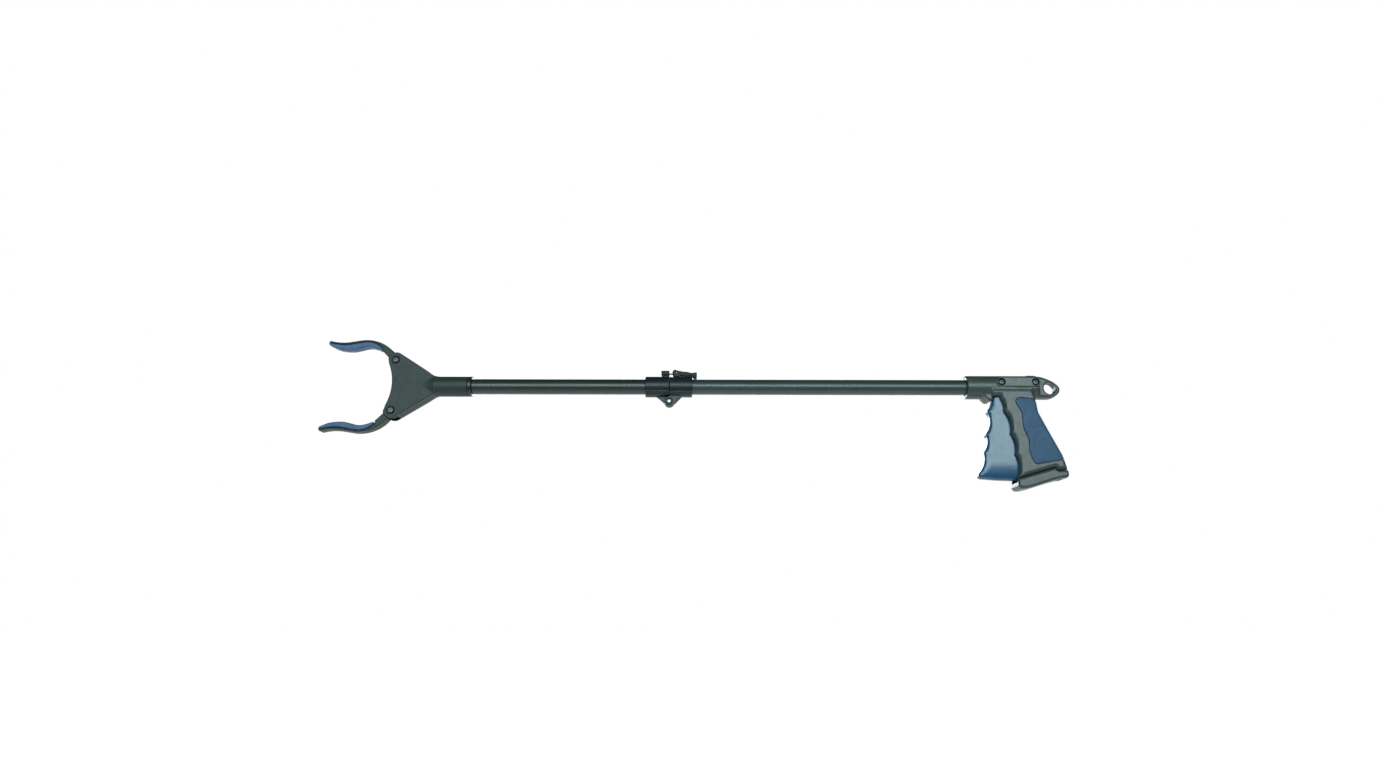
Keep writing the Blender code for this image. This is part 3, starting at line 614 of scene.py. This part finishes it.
def trigger_outline():
    head = arc(TRIGGER_PIVOT, 3.4, 0, 180, 16)
    front = smooth([(-27.4, -6.0), (-30.6, -11.0), (-32.2, -17.4), (-34.6, -22.0)])
    front += scalloped(TRIGGER_TIPS, TRIGGER_BOWS)
    foot = [(-52.4, -94.6), (-50.4, -96.6), (-34.0, -98.0), (-11.0, -98.6)]
    back = smooth([(-9.0, -96.5), (-7.5, -82.0), (-9.0, -63.0), (-12.0, -40.0), (-16.0, -23.0)])
    return softened(head + front + foot + back + [(-17.6, -8.0)], 1.4)


def sweep_outline():
    """The hollow in the grip that the trigger swings through."""
    upper = [(-8.0, 7.3), (-44.8, 7.3), (-44.8, -8.6), (-32.9, -8.6), (-32.9, -19.0)]
    lower = arc(TRIGGER_PIVOT, SWEEP_R, 247, 299.4, 30)
    back = [(25.0, -72.0), (16.5, -54.0), (5.5, -33.0), (-6.5, -14.0)]
    return upper + [(-60.0, -32.0)] + lower + back


def insert_outline():
    """The soft panel on the grip; its rear edge runs past the grip's back."""
    front = smooth([(6.8, -83.0), (2.6, -81.4), (-1.2, -70.0), (-1.0, -57.4), (-5.1, -44.6),
                    (-5.2, -30.2), (-10.2, -19.0), (-8.6, -14.8), (-4.6, -13.4)])
    rear = [(7.2, -14.6), (11.2, -17.0), (22.0, -17.5), (44.0, -70.0), (38.4, -76.8)]
    return softened(front + rear + [(31.1, -78.6)], 1.2)


def tail_outline():
    return smooth([(8.0, 11.6), (20.0, 11.2), (29.0, 8.2), (36.0, 4.2), (40.2, -1.0),
                   (39.2, -6.2), (34.0, -10.6), (27.0, -12.2), (8.0, -11.8)])


def cap_outline():
    top = [(x, z - GAP * 1.1) for x, z in SEAM]
    rear = [(36.8, -91.0), (36.6, -95.0), (34.6, -96.8)]
    sole = smooth([(30.0, -97.2), (21.0, -99.4), (11.0, -102.4), (0.0, -105.9), (-8.0, -107.8)])
    return softened(top + rear + sole + [(-12.6, -108.0), (-15.2, -105.4)], 1.2)


def land_outline():
    """The raised plate between the two screws."""
    return arc(TRIGGER_PIVOT, LAND_R, 90, 270, 24) + arc(HOUSING_SCREW, LAND_R, 270, 450, 24)


GRIP_2D = outline_field(grip_outline())
TRIGGER_2D = outline_field(trigger_outline())
SWEEP_2D = outline_field(sweep_outline())
INSERT_2D = outline_field(insert_outline())
TAIL_2D = outline_field(tail_outline())
CAP_2D = outline_field(cap_outline())
LAND_2D = outline_field(land_outline())


def grip_body(x, y, z):
    """The grip alone, whole across its width."""
    return plate(GRIP_2D, x, y, z, -GRIP_HALF, GRIP_HALF, 4.2)


def handle_field(x, y, z, side):
    """One half of the handle; side is -1 for the left half and 1 for the right."""
    sleeve = barrel(x, y, z, SLEEVE_R, SLEEVE_FRONT, 17.0, 1.5, 3.5)
    tail = plate(TAIL_2D, x, y, z, -TAIL_HALF, TAIL_HALF, 3.6)
    grip = grip_body(x, y, z)
    beak = both(grip, np.abs(y) - 9.5 - np.clip((x + 34.0) * 2.0, 0.0, 9.0), 1.5)
    body = joined(joined(sleeve, tail, 2.5), beak, 2.2)
    body = joined(body, plate(LAND_2D, x, y, z, -LAND_HALF, LAND_HALF, 0.5), 0.3)
    rim = both(np.abs(LAND_2D(x, z) - 0.45) - 0.45, both(11.2 - np.abs(y), z - 5.0))
    body = without(body, rim, 0.3)
    body = without(body, pin_hole(x, y, z, TAIL_EYE, TAIL_EYE_R), 2.4)
    rubber_seat = both(both(INSERT_2D(x, z), -grip - 1.6), 1.0 - np.abs(y))
    body = without(body, rubber_seat, 0.35)
    body = without(body, barrel(x, y, z, TUBE_R + FIT, -70.0, -44.6), 0.5)
    body = without(body, plate(SWEEP_2D, x, y, z, -SLOT_HALF, SLOT_HALF, 0.5), 0.5)
    for centre in SCREW_PLACES:
        body = without(body, pin_hole(x, y, z, centre, SCREW_RECESS_R, -99.0, -9.4), 0.5)
    place = np.hypot(x - CAP_SCREW_X, y) - 1.5
    body = without(body, both(place, slab(z, -95.0, -79.0)), 0.1)
    return both(body, FIT - side * y, 0.3)


def insert_field(x, y, z, side):
    """Rubber laid over the grip's side and round its back, slightly crowned."""
    grip = grip_body(x, y, z)
    edge = INSERT_2D(x, z) + 0.35
    depth = np.clip(-edge / 7.0, 0.0, 1.0)
    crown = 0.15 + 0.5 * (1 - (1 - depth) ** 2)
    shell = both(edge, grip - crown, 0.5)
    shell = both(shell, -grip - 1.3)
    return both(shell, 1.2 - side * y, 0.35)


def trigger_field(x, y, z):
    """The trigger, its sides falling away towards the outline and the foot."""
    outline = TRIGGER_2D(x, z)
    crown = EDGE_FALL * (1.0 - np.clip(-outline / EDGE_REACH, 0.0, 1.0)) ** 2
    crown = crown + FOOT_FALL * np.clip((FOOT_TOP - z) / FOOT_REACH, 0.0, 1.0) ** 2
    body = both(outline, np.abs(y) - TRIGGER_HALF + crown, 2.4)
    anchor_z = TRIGGER_PIVOT[1] - ANCHOR_DROP
    body = without(body, pin_hole(x, y, z, TRIGGER_PIVOT, PIN_HOLE_R), 0.3)
    body = without(body, pin_hole(x, y, z, (TRIGGER_PIVOT[0], anchor_z), PIN_HOLE_R), 0.3)
    return without(body, block(x, y, z, (-60, -2.0, anchor_z - 4.8), (-10, 2.0, anchor_z + 6.7)), 0.5)


def cap_field(x, y, z):
    """The heel cap, hollow for the trigger's swing and bored for its screw."""
    body = plate(CAP_2D, x, y, z, -GRIP_HALF, GRIP_HALF, 3.0)
    body = without(body, plate(SWEEP_2D, x, y, z, -SLOT_HALF, SLOT_HALF, 0.5), 0.4)
    place = np.hypot(x - CAP_SCREW_X, y)
    body = without(body, both(place - CAP_BORE_R, z - CAP_BORE_TOP), 0.7)
    return without(body, both(place - 1.5, slab(z, -120.0, -80.0)), 0.2)


SHANK_BEVEL, HEAD_BEVEL = 0.3, 0.1
HEAD_RIM = 0.25              # the head's upright edge, below its dome
DOME_R, DOME_STEPS = 1.1, 8
CROSS_REACH, CROSS_HALF, CROSS_DEPTH = 0.56, 0.42, 1.1


def pan_head(name, centre, head_r, head_y, seat_y, shank_r, tip_y, axis=Y):
    """A pan-head screw with a cross recess: head from head_y, shank to tip_y."""
    profile = [(0.0, tip_y), (shank_r - SHANK_BEVEL, tip_y), (shank_r, tip_y - SHANK_BEVEL),
               (shank_r, seat_y)]
    profile += [(head_r - HEAD_BEVEL, seat_y), (head_r, seat_y - HEAD_BEVEL)]
    rise = seat_y - head_y - HEAD_RIM
    for index in range(DOME_STEPS + 1):
        angle = math.pi / 2 * index / DOME_STEPS
        profile.append((head_r - DOME_R + DOME_R * math.cos(angle),
                        seat_y - HEAD_RIM - rise * math.sin(angle)))
    item = turned(name, profile + [(0.0, head_y)], axis, centre, ROUND)
    wide = head_r * CROSS_REACH
    for half_x, half_z in ((wide, CROSS_HALF), (CROSS_HALF, wide)):
        low = Vector((-half_x, head_y - 1.0, -half_z))
        high = Vector((half_x, head_y + CROSS_DEPTH, half_z))
        slot = box("slot", low, high)
        if axis == Z:
            slot.data.transform(Matrix.Rotation(math.pi / 2, 4, "X"))
        slot.data.transform(Matrix.Translation(Vector(centre) * MM))
        cut(item, slot)
    return item


def build_handle():
    low, high = (-58.5, -13.0, -100.0), (42.5, 13.0, 13.0)
    for name, side in (("left", -1), ("right", 1)):
        near = (low[0], min(0.0, side * 13.4), low[2])
        far = (high[0], max(0.0, side * 13.4), high[2])
        shell = skin("shell", lambda x, y, z: handle_field(x, y, z, side), near, far, HANDLE_CELL)
        piece(shell, "grip_shell_" + name, "rear_section", "olive_grey_moulding", OLIVE_GREY,
              "handle_shell_" + name, angle=60)
        panel = skin("panel", lambda x, y, z: insert_field(x, y, z, side),
                     (-12.0, near[1] - 0.5, -85.0), (40.0, far[1] + 0.7, -12.0), INSERT_CELL)
        piece(panel, "rubber_panel_" + name, "rear_section", "blue_rubber", BLUE_RUBBER,
              "grip_insert_" + name, angle=70)
    cap = skin("cap", cap_field, (-17.0, -13.0, -109.0), (42.5, 13.0, -85.0), SMALL_CELL)
    piece(cap, "heel_cap", "rear_section", "olive_grey_moulding", OLIVE_GREY, "base_cap", angle=60)
    screw = pan_head("screw", (CAP_SCREW_X, 0.0, 0.0), 3.0, -95.8, -93.9, 1.3, -80.5, Z)
    piece(screw, "heel_cap_screw", "rear_section", "plated_steel", PLATED, "base_cap_screw")
    for name, centre in (("trigger_pivot", TRIGGER_PIVOT), ("housing", HOUSING_SCREW)):
        screw = pan_head("screw", (centre[0], 0.0, centre[1]), 3.2, -11.7, -9.7, 1.5, 9.3)
        piece(screw, name + "_pan_screw", "rear_section", "blackened_steel", BLACK_SCREW,
              name + "_screw")
    trigger = skin("trigger", trigger_field, (-53.5, -7.0, -99.5), (-6.5, 7.0, 7.5), SMALL_CELL)
    piece(trigger, "finger_trigger", "trigger", "blue_moulding", BLUE_MOULDING, "trigger", angle=60)


# ------------------------------------------------------- tubes and fold

TUBE_WALL = 1.2
HINGE_PIN_R = 2.0
HINGE_BORE_R = 2.15
CAM_BORE_R = 1.35
LEVER_HALF = 4.1


def tube_piece(name, radius, inner, low, high, body, slot, surface, node):
    """A drawn tube with softly broken end edges."""
    profile = [(inner, high)] + rounded_corner((radius, high), 0.4, 1)
    steps = 24
    profile += [(radius, high + (low - high) * index / steps) for index in range(1, steps)]
    profile += rounded_corner((radius, low), 0.4, -1) + [(inner, low)]
    return piece(turned(name, profile, X, closed=True), name, body, slot, surface, node)


def lug_outline(radius, reach_x, reach_z, side):
    """A rounded lug about the fold pin with an arm up to its collar."""
    x, z = FOLD_PIN
    if side > 0:
        return arc(FOLD_PIN, radius, 95, 330, 40) + [(x + reach_x, reach_z), (x + 3.0, reach_z)]
    return arc(FOLD_PIN, radius, 210, 445, 40) + [(x - 3.0, reach_z), (x - reach_x, reach_z)]


REAR_LUG = outline_field(lug_outline(5.2, 17.0, -6.0, 1))
FRONT_LUG = outline_field(lug_outline(4.9, 19.0, -6.0, -1))
CAM_LUG_R, CAM_LUG_FOOT = 2.8, 8.9
CAM_LUG = outline_field(arc(CAM_PIVOT, CAM_LUG_R, 0, 180, 24)
                        + [(CAM_PIVOT[0] - CAM_LUG_R, CAM_LUG_FOOT),
                           (CAM_PIVOT[0] + CAM_LUG_R, CAM_LUG_FOOT)])


def ribs(y, z, degrees):
    """Fine grooves along a collar, at angles round the tube's axis."""
    turn = np.arctan2(z, -np.abs(y))
    grooves = 9.0
    for angle in degrees:
        away = np.abs(turn - math.radians(angle)) * COLLAR_R
        grooves = np.minimum(grooves, np.hypot(away, np.hypot(y, z) - COLLAR_R) - 0.42)
    return grooves


def rear_collar_field(x, y, z):
    """The rear collar with its two hinge lugs and the cam's lug."""
    low, high = FOLD_X + FIT, REAR_COLLAR_END
    body = barrel(x, y, z, COLLAR_R, low, high, 0.5, 0.7)
    lugs = both(REAR_LUG(x, z), slab(np.abs(y), LUG_INNER, LUG_OUTER), 0.5)
    body = joined(body, lugs, 1.0)
    body = without(body, block(x, y, z, (-366.0, -4.9, 9.7), (-353.5, 4.9, 14.0)), 0.3)
    body = joined(body, plate(CAM_LUG, x, y, z, -1.4, 1.4, 0.2), 0.3)
    body = without(body, barrel(x, y, z, TUBE_R + FIT, low - 3, high + 3), 0.3)
    from_pin = np.hypot(x - FOLD_PIN[0], z - FOLD_PIN[1])
    ring = np.hypot(from_pin - 3.4, np.abs(y) - LUG_OUTER - 0.1) - 0.4
    body = without(body, ring, 0.2)
    body = without(body, pin_hole(x, y, z, FOLD_PIN, HINGE_BORE_R), 0.2)
    body = without(body, ribs(y, z, (-142.0,)), 0.2)
    return without(body, pin_hole(x, y, z, CAM_PIVOT, CAM_BORE_R), 0.1)


def front_collar_field(x, y, z):
    """The front collar with its hinge lug and the seat of the clamp block."""
    low, high = FRONT_COLLAR_START, FOLD_X - FIT
    body = barrel(x, y, z, COLLAR_R, low, high, 0.7, 0.5)
    body = joined(body, plate(FRONT_LUG, x, y, z, GAP - LUG_INNER, LUG_INNER - GAP, 0.3), 0.9)
    body = joined(body, block(x, y, z, (-375.4, -3.2, 8.8), (high, 3.2, 11.8), 0.3), 0.5)
    body = without(body, barrel(x, y, z, TUBE_R + FIT, low - 3, high + 3), 0.3)
    body = without(body, ribs(y, z, (-146.0, -128.0)), 0.2)
    return without(body, pin_hole(x, y, z, FOLD_PIN, HINGE_BORE_R), 0.2)


def nut_field(x, y, z):
    """The clamp block, its top grooved across."""
    body = block(x, y, z, (-376.0, -4.2, 12.1), (FOLD_X - FIT, 4.2, 17.0), 0.9)
    for index in range(4):
        place = np.hypot(x + 374.0 - index * 1.7, z - 17.1) - 0.35
        body = without(body, place, 0.2)
    return without(body, both(np.hypot(y, z - ROD_Z) - 0.9, slab(x, -390.0, -360.0)), 0.1)


def lever_outline():
    head = arc(CAM_PIVOT, 4.4, 75, 285, 40)
    under = [(-356.0, 11.3), (-343.0, 11.3), (-342.4, 9.3), (-338.7, 9.3), (-338.7, 15.2)]
    over = smooth([(-342.2, 15.2), (-343.4, 14.6), (-347.5, 15.6), (-352.0, 17.4), (-356.0, 18.5)])
    return softened(head + under + over, 0.6)


LEVER_2D = outline_field(lever_outline())


def lever_field(x, y, z):
    """The cam lever: waisted, dished on top and forked round the cam's lug."""
    waist = 0.6 * np.clip((x + 356.0) / 6.0, 0.0, 1.0) * np.clip((-343.5 - x) / 3.0, 0.0, 1.0)
    body = both(LEVER_2D(x, z), np.abs(y) - LEVER_HALF + waist, 0.9)
    dish = np.hypot(np.hypot((x + 350.5) * 0.55, z - 26.3), y * 0.6) - 10.5
    body = without(body, dish, 0.4)
    for index in range(3):
        place = np.hypot(x + 341.6 - index * 1.15, z - 15.35) - 0.3
        body = without(body, place, 0.2)
    body = without(body, pin_hole(x, y, z, CAM_PIVOT, CAM_BORE_R), 0.2)
    cx, cz = CAM_PIVOT
    return without(body, block(x, y, z, (cx - 9, -1.7, cz - 9), (cx + 3.2, 1.7, cz + 9)), 0.2)


def build_tubes():
    inner = TUBE_R - TUBE_WALL
    tube_piece("drawn_tube_rear", TUBE_R, inner, *REAR_TUBE, "rear_section", "tube_finish",
               TUBE_PAINT, "rear_tube")
    tube_piece("drawn_tube_front", TUBE_R, inner, *FRONT_TUBE, "front_section", "tube_finish",
               FRONT_PAINT, "front_tube")
    x, z = FOLD_PIN
    half = -span("fold_hinge_pin", Y)[0]
    pin = rod("pin", HINGE_PIN_R, -half, half, Y, (x, 0.0, z), ROUND, 0.6)
    piece(pin, "fold_pin_rivet", "rear_section", "plated_steel", PLATED, "fold_hinge_pin")


def build_fold():
    rear = skin("collar", rear_collar_field, (-373.5, -11.2, -22.2), (-343.0, 11.2, 17.8), FINE_CELL)
    piece(rear, "hinge_collar_rear", "rear_section", "graphite_moulding", GRAPHITE,
          "rear_collar", angle=50)
    front = skin("collar", front_collar_field, (-393.0, -11.2, -21.7), (-362.0, 11.2, 12.2), FINE_CELL)
    piece(front, "hinge_collar_front", "front_section", "graphite_moulding", GRAPHITE,
          "front_collar", angle=50)
    nut = skin("nut", nut_field, (-376.5, -4.6, 11.8), (-367.0, 4.6, 17.4), FINE_CELL)
    piece(nut, "clamp_block", "front_section", "graphite_moulding", GRAPHITE_MATT, "latch_nut", angle=50)
    lever = skin("lever", lever_field, (-364.9, -4.5, 8.9), (-338.2, 4.5, 19.3), FINE_CELL * 0.8)
    piece(lever, "clamp_lever", "cam_lever", "graphite_moulding", GRAPHITE_MATT, "cam_lever", angle=50)


# ------------------------------------------------------------------ head

LOBE_R = 8.2
JAW_BORE_R = 1.85


def head_outline():
    """The flat yoke: two lobes round the jaw pivots and a neck to the socket."""
    x, z = JAW_PIVOT
    upper = arc(JAW_PIVOT, LOBE_R, 55, 172, 24)
    front = bowed((x - 7.0, z - 4.0), (x - 7.0, -z + 4.0), 5.2, 24)
    lower = arc((x, -z), LOBE_R, 188, 305, 24)
    neck = smooth([(-621.0, -15.4), (-615.0, -11.2), (-612.0, -9.6), (-606.0, -7.0)], 4)
    return upper + front + lower + neck + [(px, -pz) for px, pz in reversed(neck)]


def pocket_outline():
    """The hollow for the jaw roots and the crosshead, open at both lobes."""
    half = [(-676.0, 44.0), (-648.6, 44.0), (-648.6, 31.2), (-619.0, 11.2), (-616.5, 7.6)]
    middle = [(-652.6, 16.6), (-676.0, 16.6)]
    return half + mirrored(half) + [(px, -pz) for px, pz in reversed(middle)] + middle


HEAD_2D = outline_field(head_outline())
POCKET_2D = outline_field(pocket_outline())


def head_field(x, y, z, side):
    """One half of the head: the yoke, the taper and the socket for the tube."""
    yoke = plate(HEAD_2D, x, y, z, -HEAD_HALF, HEAD_HALF, 0.9)
    socket = barrel(x, y, z, SOCKET_R, -613.0, -577.6, 0.0, 0.5)
    taper = both(np.hypot(y, z) - SOCKET_R + (-613.0 - x) * 0.36, slab(x, -622.5, -612.0))
    body = joined(yoke, joined(socket, taper), 2.2)
    body = without(body, plate(POCKET_2D, x, y, z, -HEAD_POCKET_HALF, HEAD_POCKET_HALF, 0.0), 0.3)
    body = without(body, barrel(x, y, z, TUBE_R + FIT, FRONT_TUBE[0] - 0.6, -570.0), 0.2)
    body = without(body, barrel(x, y, z, 5.4, -618.0, -600.0), 0.2)
    for sign in (-1, 1):
        centre = (JAW_PIVOT[0], sign * JAW_PIVOT[1])
        rim = np.hypot(x - centre[0], z - centre[1])
        body = without(body, both(rim - 4.3, y + HEAD_HALF - 0.9), 0.5)
        body = without(body, both(rim - 3.9, HEAD_HALF - 1.0 - y), 0.4)
        body = without(body, rim - JAW_BORE_R, 0.1)
    return both(body, FIT - side * y, 0.25)


def jaw_outer():
    """The jaw's back, from its tip to its root."""
    return smooth([(-727.2, 48.8), (-719.5, 47.3), (-710.0, 47.0), (-700.0, 48.4), (-690.0, 49.8),
                   (-680.5, 49.0), (-671.5, 46.0), (-663.5, 40.9), (-658.3, 35.4)])


def jaw_joint_line():
    """Where the soft pad meets the jaw's back, from tip to root."""
    return smooth([(-728.4, 47.1), (-719.5, 45.4), (-710.0, 44.9), (-701.0, 45.9), (-691.5, 47.6),
                   (-684.0, 47.6), (-677.0, 45.4), (-670.2, 40.8)])


def jaw_inner():
    """The gripping face, from the pad's root end to its tip."""
    return smooth([(-672.8, 38.6), (-678.0, 40.6), (-684.5, 42.2), (-689.5, 41.9), (-696.5, 40.1),
                   (-703.5, 38.7), (-712.0, 38.9), (-719.5, 40.3), (-727.8, 44.1)])


PULL_ARM, PULL_STROKE = 6.45, 3.93    # of the crosshead on a jaw's root
LEAN = math.atan2(PULL_STROKE / 2, PULL_ARM)


def jaw_outline():
    """The upper jaw from the side, without its pad."""
    x, z = JAW_PIVOT
    tail = [(x + side * 3.1 * math.cos(LEAN) - 8.6 * math.sin(LEAN),
             z - side * 3.1 * math.sin(LEAN) - 8.6 * math.cos(LEAN)) for side in (1, -1)]
    root = [(x - 3.6, z + 5.4)] + arc(JAW_PIVOT, 6.2, 100, 0, 24)
    throat = [(x - 5.4, z - 1.0), (-664.2, 30.9), (-668.4, 35.3), (-671.0, 37.6)]
    return softened(jaw_outer() + root + tail + throat + list(reversed(jaw_joint_line())), 0.6)


JAW_2D = outline_field(jaw_outline())
PAD_2D = outline_field(softened([(px, pz - GAP) for px, pz in jaw_joint_line()] + jaw_inner(), 0.8))


def jaw_field(x, y, z, sign):
    """A jaw; sign is 1 for the upper one and -1 for the lower."""
    up = z * sign
    body = plate(JAW_2D, x, y, up, -JAW_HALF, JAW_HALF, 1.2)
    body = without(body, pin_hole(x, y, up, JAW_PIVOT, JAW_BORE_R), 0.2)
    dx, dz = x - JAW_PIVOT[0], up - JAW_PIVOT[1]
    across = dx * math.cos(LEAN) - dz * math.sin(LEAN)
    along = dx * math.sin(LEAN) + dz * math.cos(LEAN)
    body = without(body, block(across, y, along, (-9.0, -2.0, -14.0), (9.0, 2.0, -3.3)), 0.2)
    return without(body, block(across, y, along, (-1.52, -9.0, -14.0), (1.52, 9.0, -4.9)), 0.2)


def pad_field(x, y, z, sign):
    """Soft pad, its gripping face crowned across its width."""
    up = z * sign
    crown = 0.5 * (np.abs(y) / JAW_HALF) ** 2 * np.clip((46.0 - up) / 4.0, 0.0, 1.0)
    return both(PAD_2D(x, up) + crown, slab(y, -JAW_HALF, JAW_HALF), 1.0)


def build_spring():
    """The return spring, held by its seat: a copy of the frame's coil."""
    coil = frame["nodes"]["return_spring"]
    spring = mesh_object("coil_spring", coil.data.copy())
    piece(spring, "coil_spring", "front_section", "plated_steel", CABLE_STEEL, "return_spring")
    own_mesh(spring)


def build_head():
    for name, side in (("left", -1), ("right", 1)):
        near, far = sorted((0.0, side * 11.0))
        shell = skin("shell", lambda x, y, z: head_field(x, y, z, side),
                     (-664.0, near, -36.2), (-577.0, far, 36.2), HEAD_CELL)
        piece(shell, "yoke_shell_" + name, "front_section", "charcoal_moulding", CHARCOAL,
              "head_shell_" + name, angle=60)
    low, high = SOCKET_RING
    profile = [(TUBE_R + FIT, high)] + rounded_corner((SOCKET_R + 0.1, high), 0.9, 1)
    profile += rounded_corner((SOCKET_R + 0.1, low), 0.3, -1) + [(TUBE_R + FIT, low)]
    ring = turned("ring", profile, X, closed=True)
    piece(ring, "socket_lip", "front_section", "graphite_moulding", SOCKET_BLACK, "socket_end_ring")
    for name, sign in (("upper", 1), ("lower", -1)):
        centre = (JAW_PIVOT[0], 0.0, sign * JAW_PIVOT[1])
        screw = pan_head("screw", centre, 3.5, -HEAD_HALF - 0.8, -HEAD_HALF + 0.6, 1.7, 7.6)
        piece(screw, "jaw_pan_screw_" + name, "front_section", "blackened_steel", BLACK_SCREW,
              "jaw_pivot_screw_" + name)
        low, high = (-729.5, -6.5), (-648.0, 6.5)
        top, bottom = sorted((sign * 18.0, sign * 50.8))
        arm = skin("jaw", lambda x, y, z: jaw_field(x, y, z, sign),
                   (low[0], low[1], top), (high[0], high[1], bottom), JAW_CELL)
        piece(arm, "jaw_arm_" + name, name + "_jaw", "charcoal_moulding", CHARCOAL,
              "jaw_" + name, angle=60)
        top, bottom = sorted((sign * 36.5, sign * 47.8))
        pad = skin("pad", lambda x, y, z: pad_field(x, y, z, sign),
                   (low[0], low[1], top), (-668.0, high[1], bottom), JAW_CELL)
        piece(pad, "soft_pad_" + name, name + "_jaw", "blue_rubber", JAW_RUBBER,
              "jaw_pad_" + name, angle=60)


HANDLE_CELL, INSERT_CELL, SMALL_CELL = 0.5, 0.45, 0.5
FINE_CELL, HEAD_CELL, JAW_CELL = 0.33, 0.45, 0.4

build_handle()
build_tubes()
build_fold()
build_head()
build_spring()

CARRIED = {
    GRAPHITE: ("rear_tube_bush", "front_tube_bush", "cable_guide_bush"),
    CABLE_STEEL: ("pull_cable_rear", "pull_cable_front"),
    PLATED: ("cable_clevis", "cable_anchor_pin", "crosshead", "spring_seat"),
    BLACK_SCREW: ("latch_draw_rod", "cam_lever_pin", "jaw_pivot_nut_upper", "jaw_pivot_nut_lower"),
}
for surface, names in CARRIED.items():
    for name in names:
        node = frame["nodes"][name]
        node.data.materials.clear()
        node.data.materials.append(surface)


# ---------------------------------------------------- stage, light, camera

FLOOR_Z = -0.52
# painted glow: the floor's emission strength under the tool, as a part of full white
FLOOR_GLOW = 0.58            # of full white, under the tool
GLOW_REACH = (0.5, 2.6)      # from where the glow grows to where it is full
MIDDLE = (-0.33, 0.0, -0.02)


def stage_floor():
    """A pale floor, clear of the object, with a painted glow that is dimmer under the tool and grows to
    full white into the distance.
    """
    work = bmesh.new()
    bmesh.ops.create_grid(work, x_segments=2, y_segments=2, size=9.0)
    bmesh.ops.translate(work, verts=work.verts, vec=(MIDDLE[0], 3.0, FLOOR_Z))
    floor = from_work("floor", work)
    made, tree, shader = nodes_of("pale_floor")
    where = tree.nodes.new("ShaderNodeTexCoord").outputs["Object"]
    tone = spread(tree, noise(tree, where, 3.0, 3.0), 0.0, 1.0)
    base = between(tree, tone, (0.90, 0.91, 0.92), (0.94, 0.94, 0.95))
    tree.links.new(base, shader.inputs["Base Color"])
    shader.inputs["Roughness"].default_value = 0.9
    shader.inputs["Emission Color"].default_value = (1.0, 1.0, 1.0, 1.0)
    away = tree.nodes.new("ShaderNodeVectorMath")
    away.operation = "DISTANCE"
    away.inputs[1].default_value = (MIDDLE[0], 0.0, FLOOR_Z)
    tree.links.new(where, away.inputs[0])
    # painted light: the floor glows, dimmer under the tool and growing to full white far from it
    glow = spread(tree, away.outputs["Value"], FLOOR_GLOW, 1.0, *GLOW_REACH)
    tree.links.new(glow, shader.inputs["Emission Strength"])
    floor.data.materials.append(made)
    floor.visible_glossy = False
    floor.visible_diffuse = False


LIGHT_Y, LIGHT_Z = 1.85, 0.42
LIGHT_WIDTH, LIGHT_HEIGHT = 3.2, 0.62


def soft_light(name, place_y, power, colour):
    """A long soft box along the tool, aimed at its middle."""
    place = (MIDDLE[0], place_y, LIGHT_Z)
    lamp = bpy.data.lights.new(name, "AREA")
    lamp.shape = "RECTANGLE"
    lamp.size, lamp.size_y = LIGHT_WIDTH, LIGHT_HEIGHT
    lamp.energy = power
    lamp.color = colour
    item = bpy.data.objects.new(name, lamp)
    item.location = place
    item.rotation_euler = (Vector(MIDDLE) - Vector(place)).to_track_quat("-Z", "Y").to_euler()
    STAGE.objects.link(item)


ROOM_DIM, ROOM_BRIGHT = 0.05, 1.35
BRIGHT_SIDE = (0.0, 0.55, -0.83)


def studio_world():
    """White to the camera; for light, a dim room that is bright behind and below."""
    world = bpy.data.worlds.new("studio")
    bpy.context.scene.world = world
    world.use_nodes = True
    tree = world.node_tree
    room = tree.nodes["Background"]
    where = tree.nodes.new("ShaderNodeTexCoord").outputs["Generated"]
    facing = tree.nodes.new("ShaderNodeVectorMath")
    facing.operation = "DOT_PRODUCT"
    tree.links.new(where, facing.inputs[0])
    facing.inputs[1].default_value = Vector(BRIGHT_SIDE).normalized()
    level = spread(tree, facing.outputs["Value"], ROOM_DIM, ROOM_BRIGHT, 0.10, 0.62)
    tree.links.new(level, room.inputs["Strength"])
    room.inputs["Color"].default_value = (0.90, 1.0, 0.98, 1.0)
    shown = tree.nodes.new("ShaderNodeBackground")
    shown.inputs["Color"].default_value = (1.0, 1.0, 1.0, 1.0)
    path = tree.nodes.new("ShaderNodeLightPath")
    pick = tree.nodes.new("ShaderNodeMixShader")
    tree.links.new(path.outputs["Is Camera Ray"], pick.inputs["Fac"])
    tree.links.new(room.outputs["Background"], pick.inputs[1])
    tree.links.new(shown.outputs["Background"], pick.inputs[2])
    tree.links.new(pick.outputs["Shader"], tree.nodes["World Output"].inputs["Surface"])


ROLL = -0.12                 # degrees
TILT = 105.5                 # degrees from straight down


def studio_camera():
    """The photograph's view: from the left, a little below the tool."""
    lens = bpy.data.cameras.new("camera")
    lens.sensor_width = 36.0
    lens.lens = 21.18
    lens.shift_x = -0.00680
    lens.shift_y = -0.0020
    lens.clip_start = 0.01
    camera = bpy.data.objects.new("camera", lens)
    camera.location = (-0.3318, -0.8258, -0.2290)
    camera.rotation_euler = (math.radians(TILT), math.radians(ROLL), 0.0)
    STAGE.objects.link(camera)
    bpy.context.scene.camera = camera


stage_floor()
studio_world()
studio_camera()
soft_light("key", -LIGHT_Y, 57.0, (0.80, 0.99, 1.0))
soft_light("fill", LIGHT_Y, 50.0, (0.88, 1.0, 1.0))
bpy.context.scene.view_settings.view_transform = "Standard"
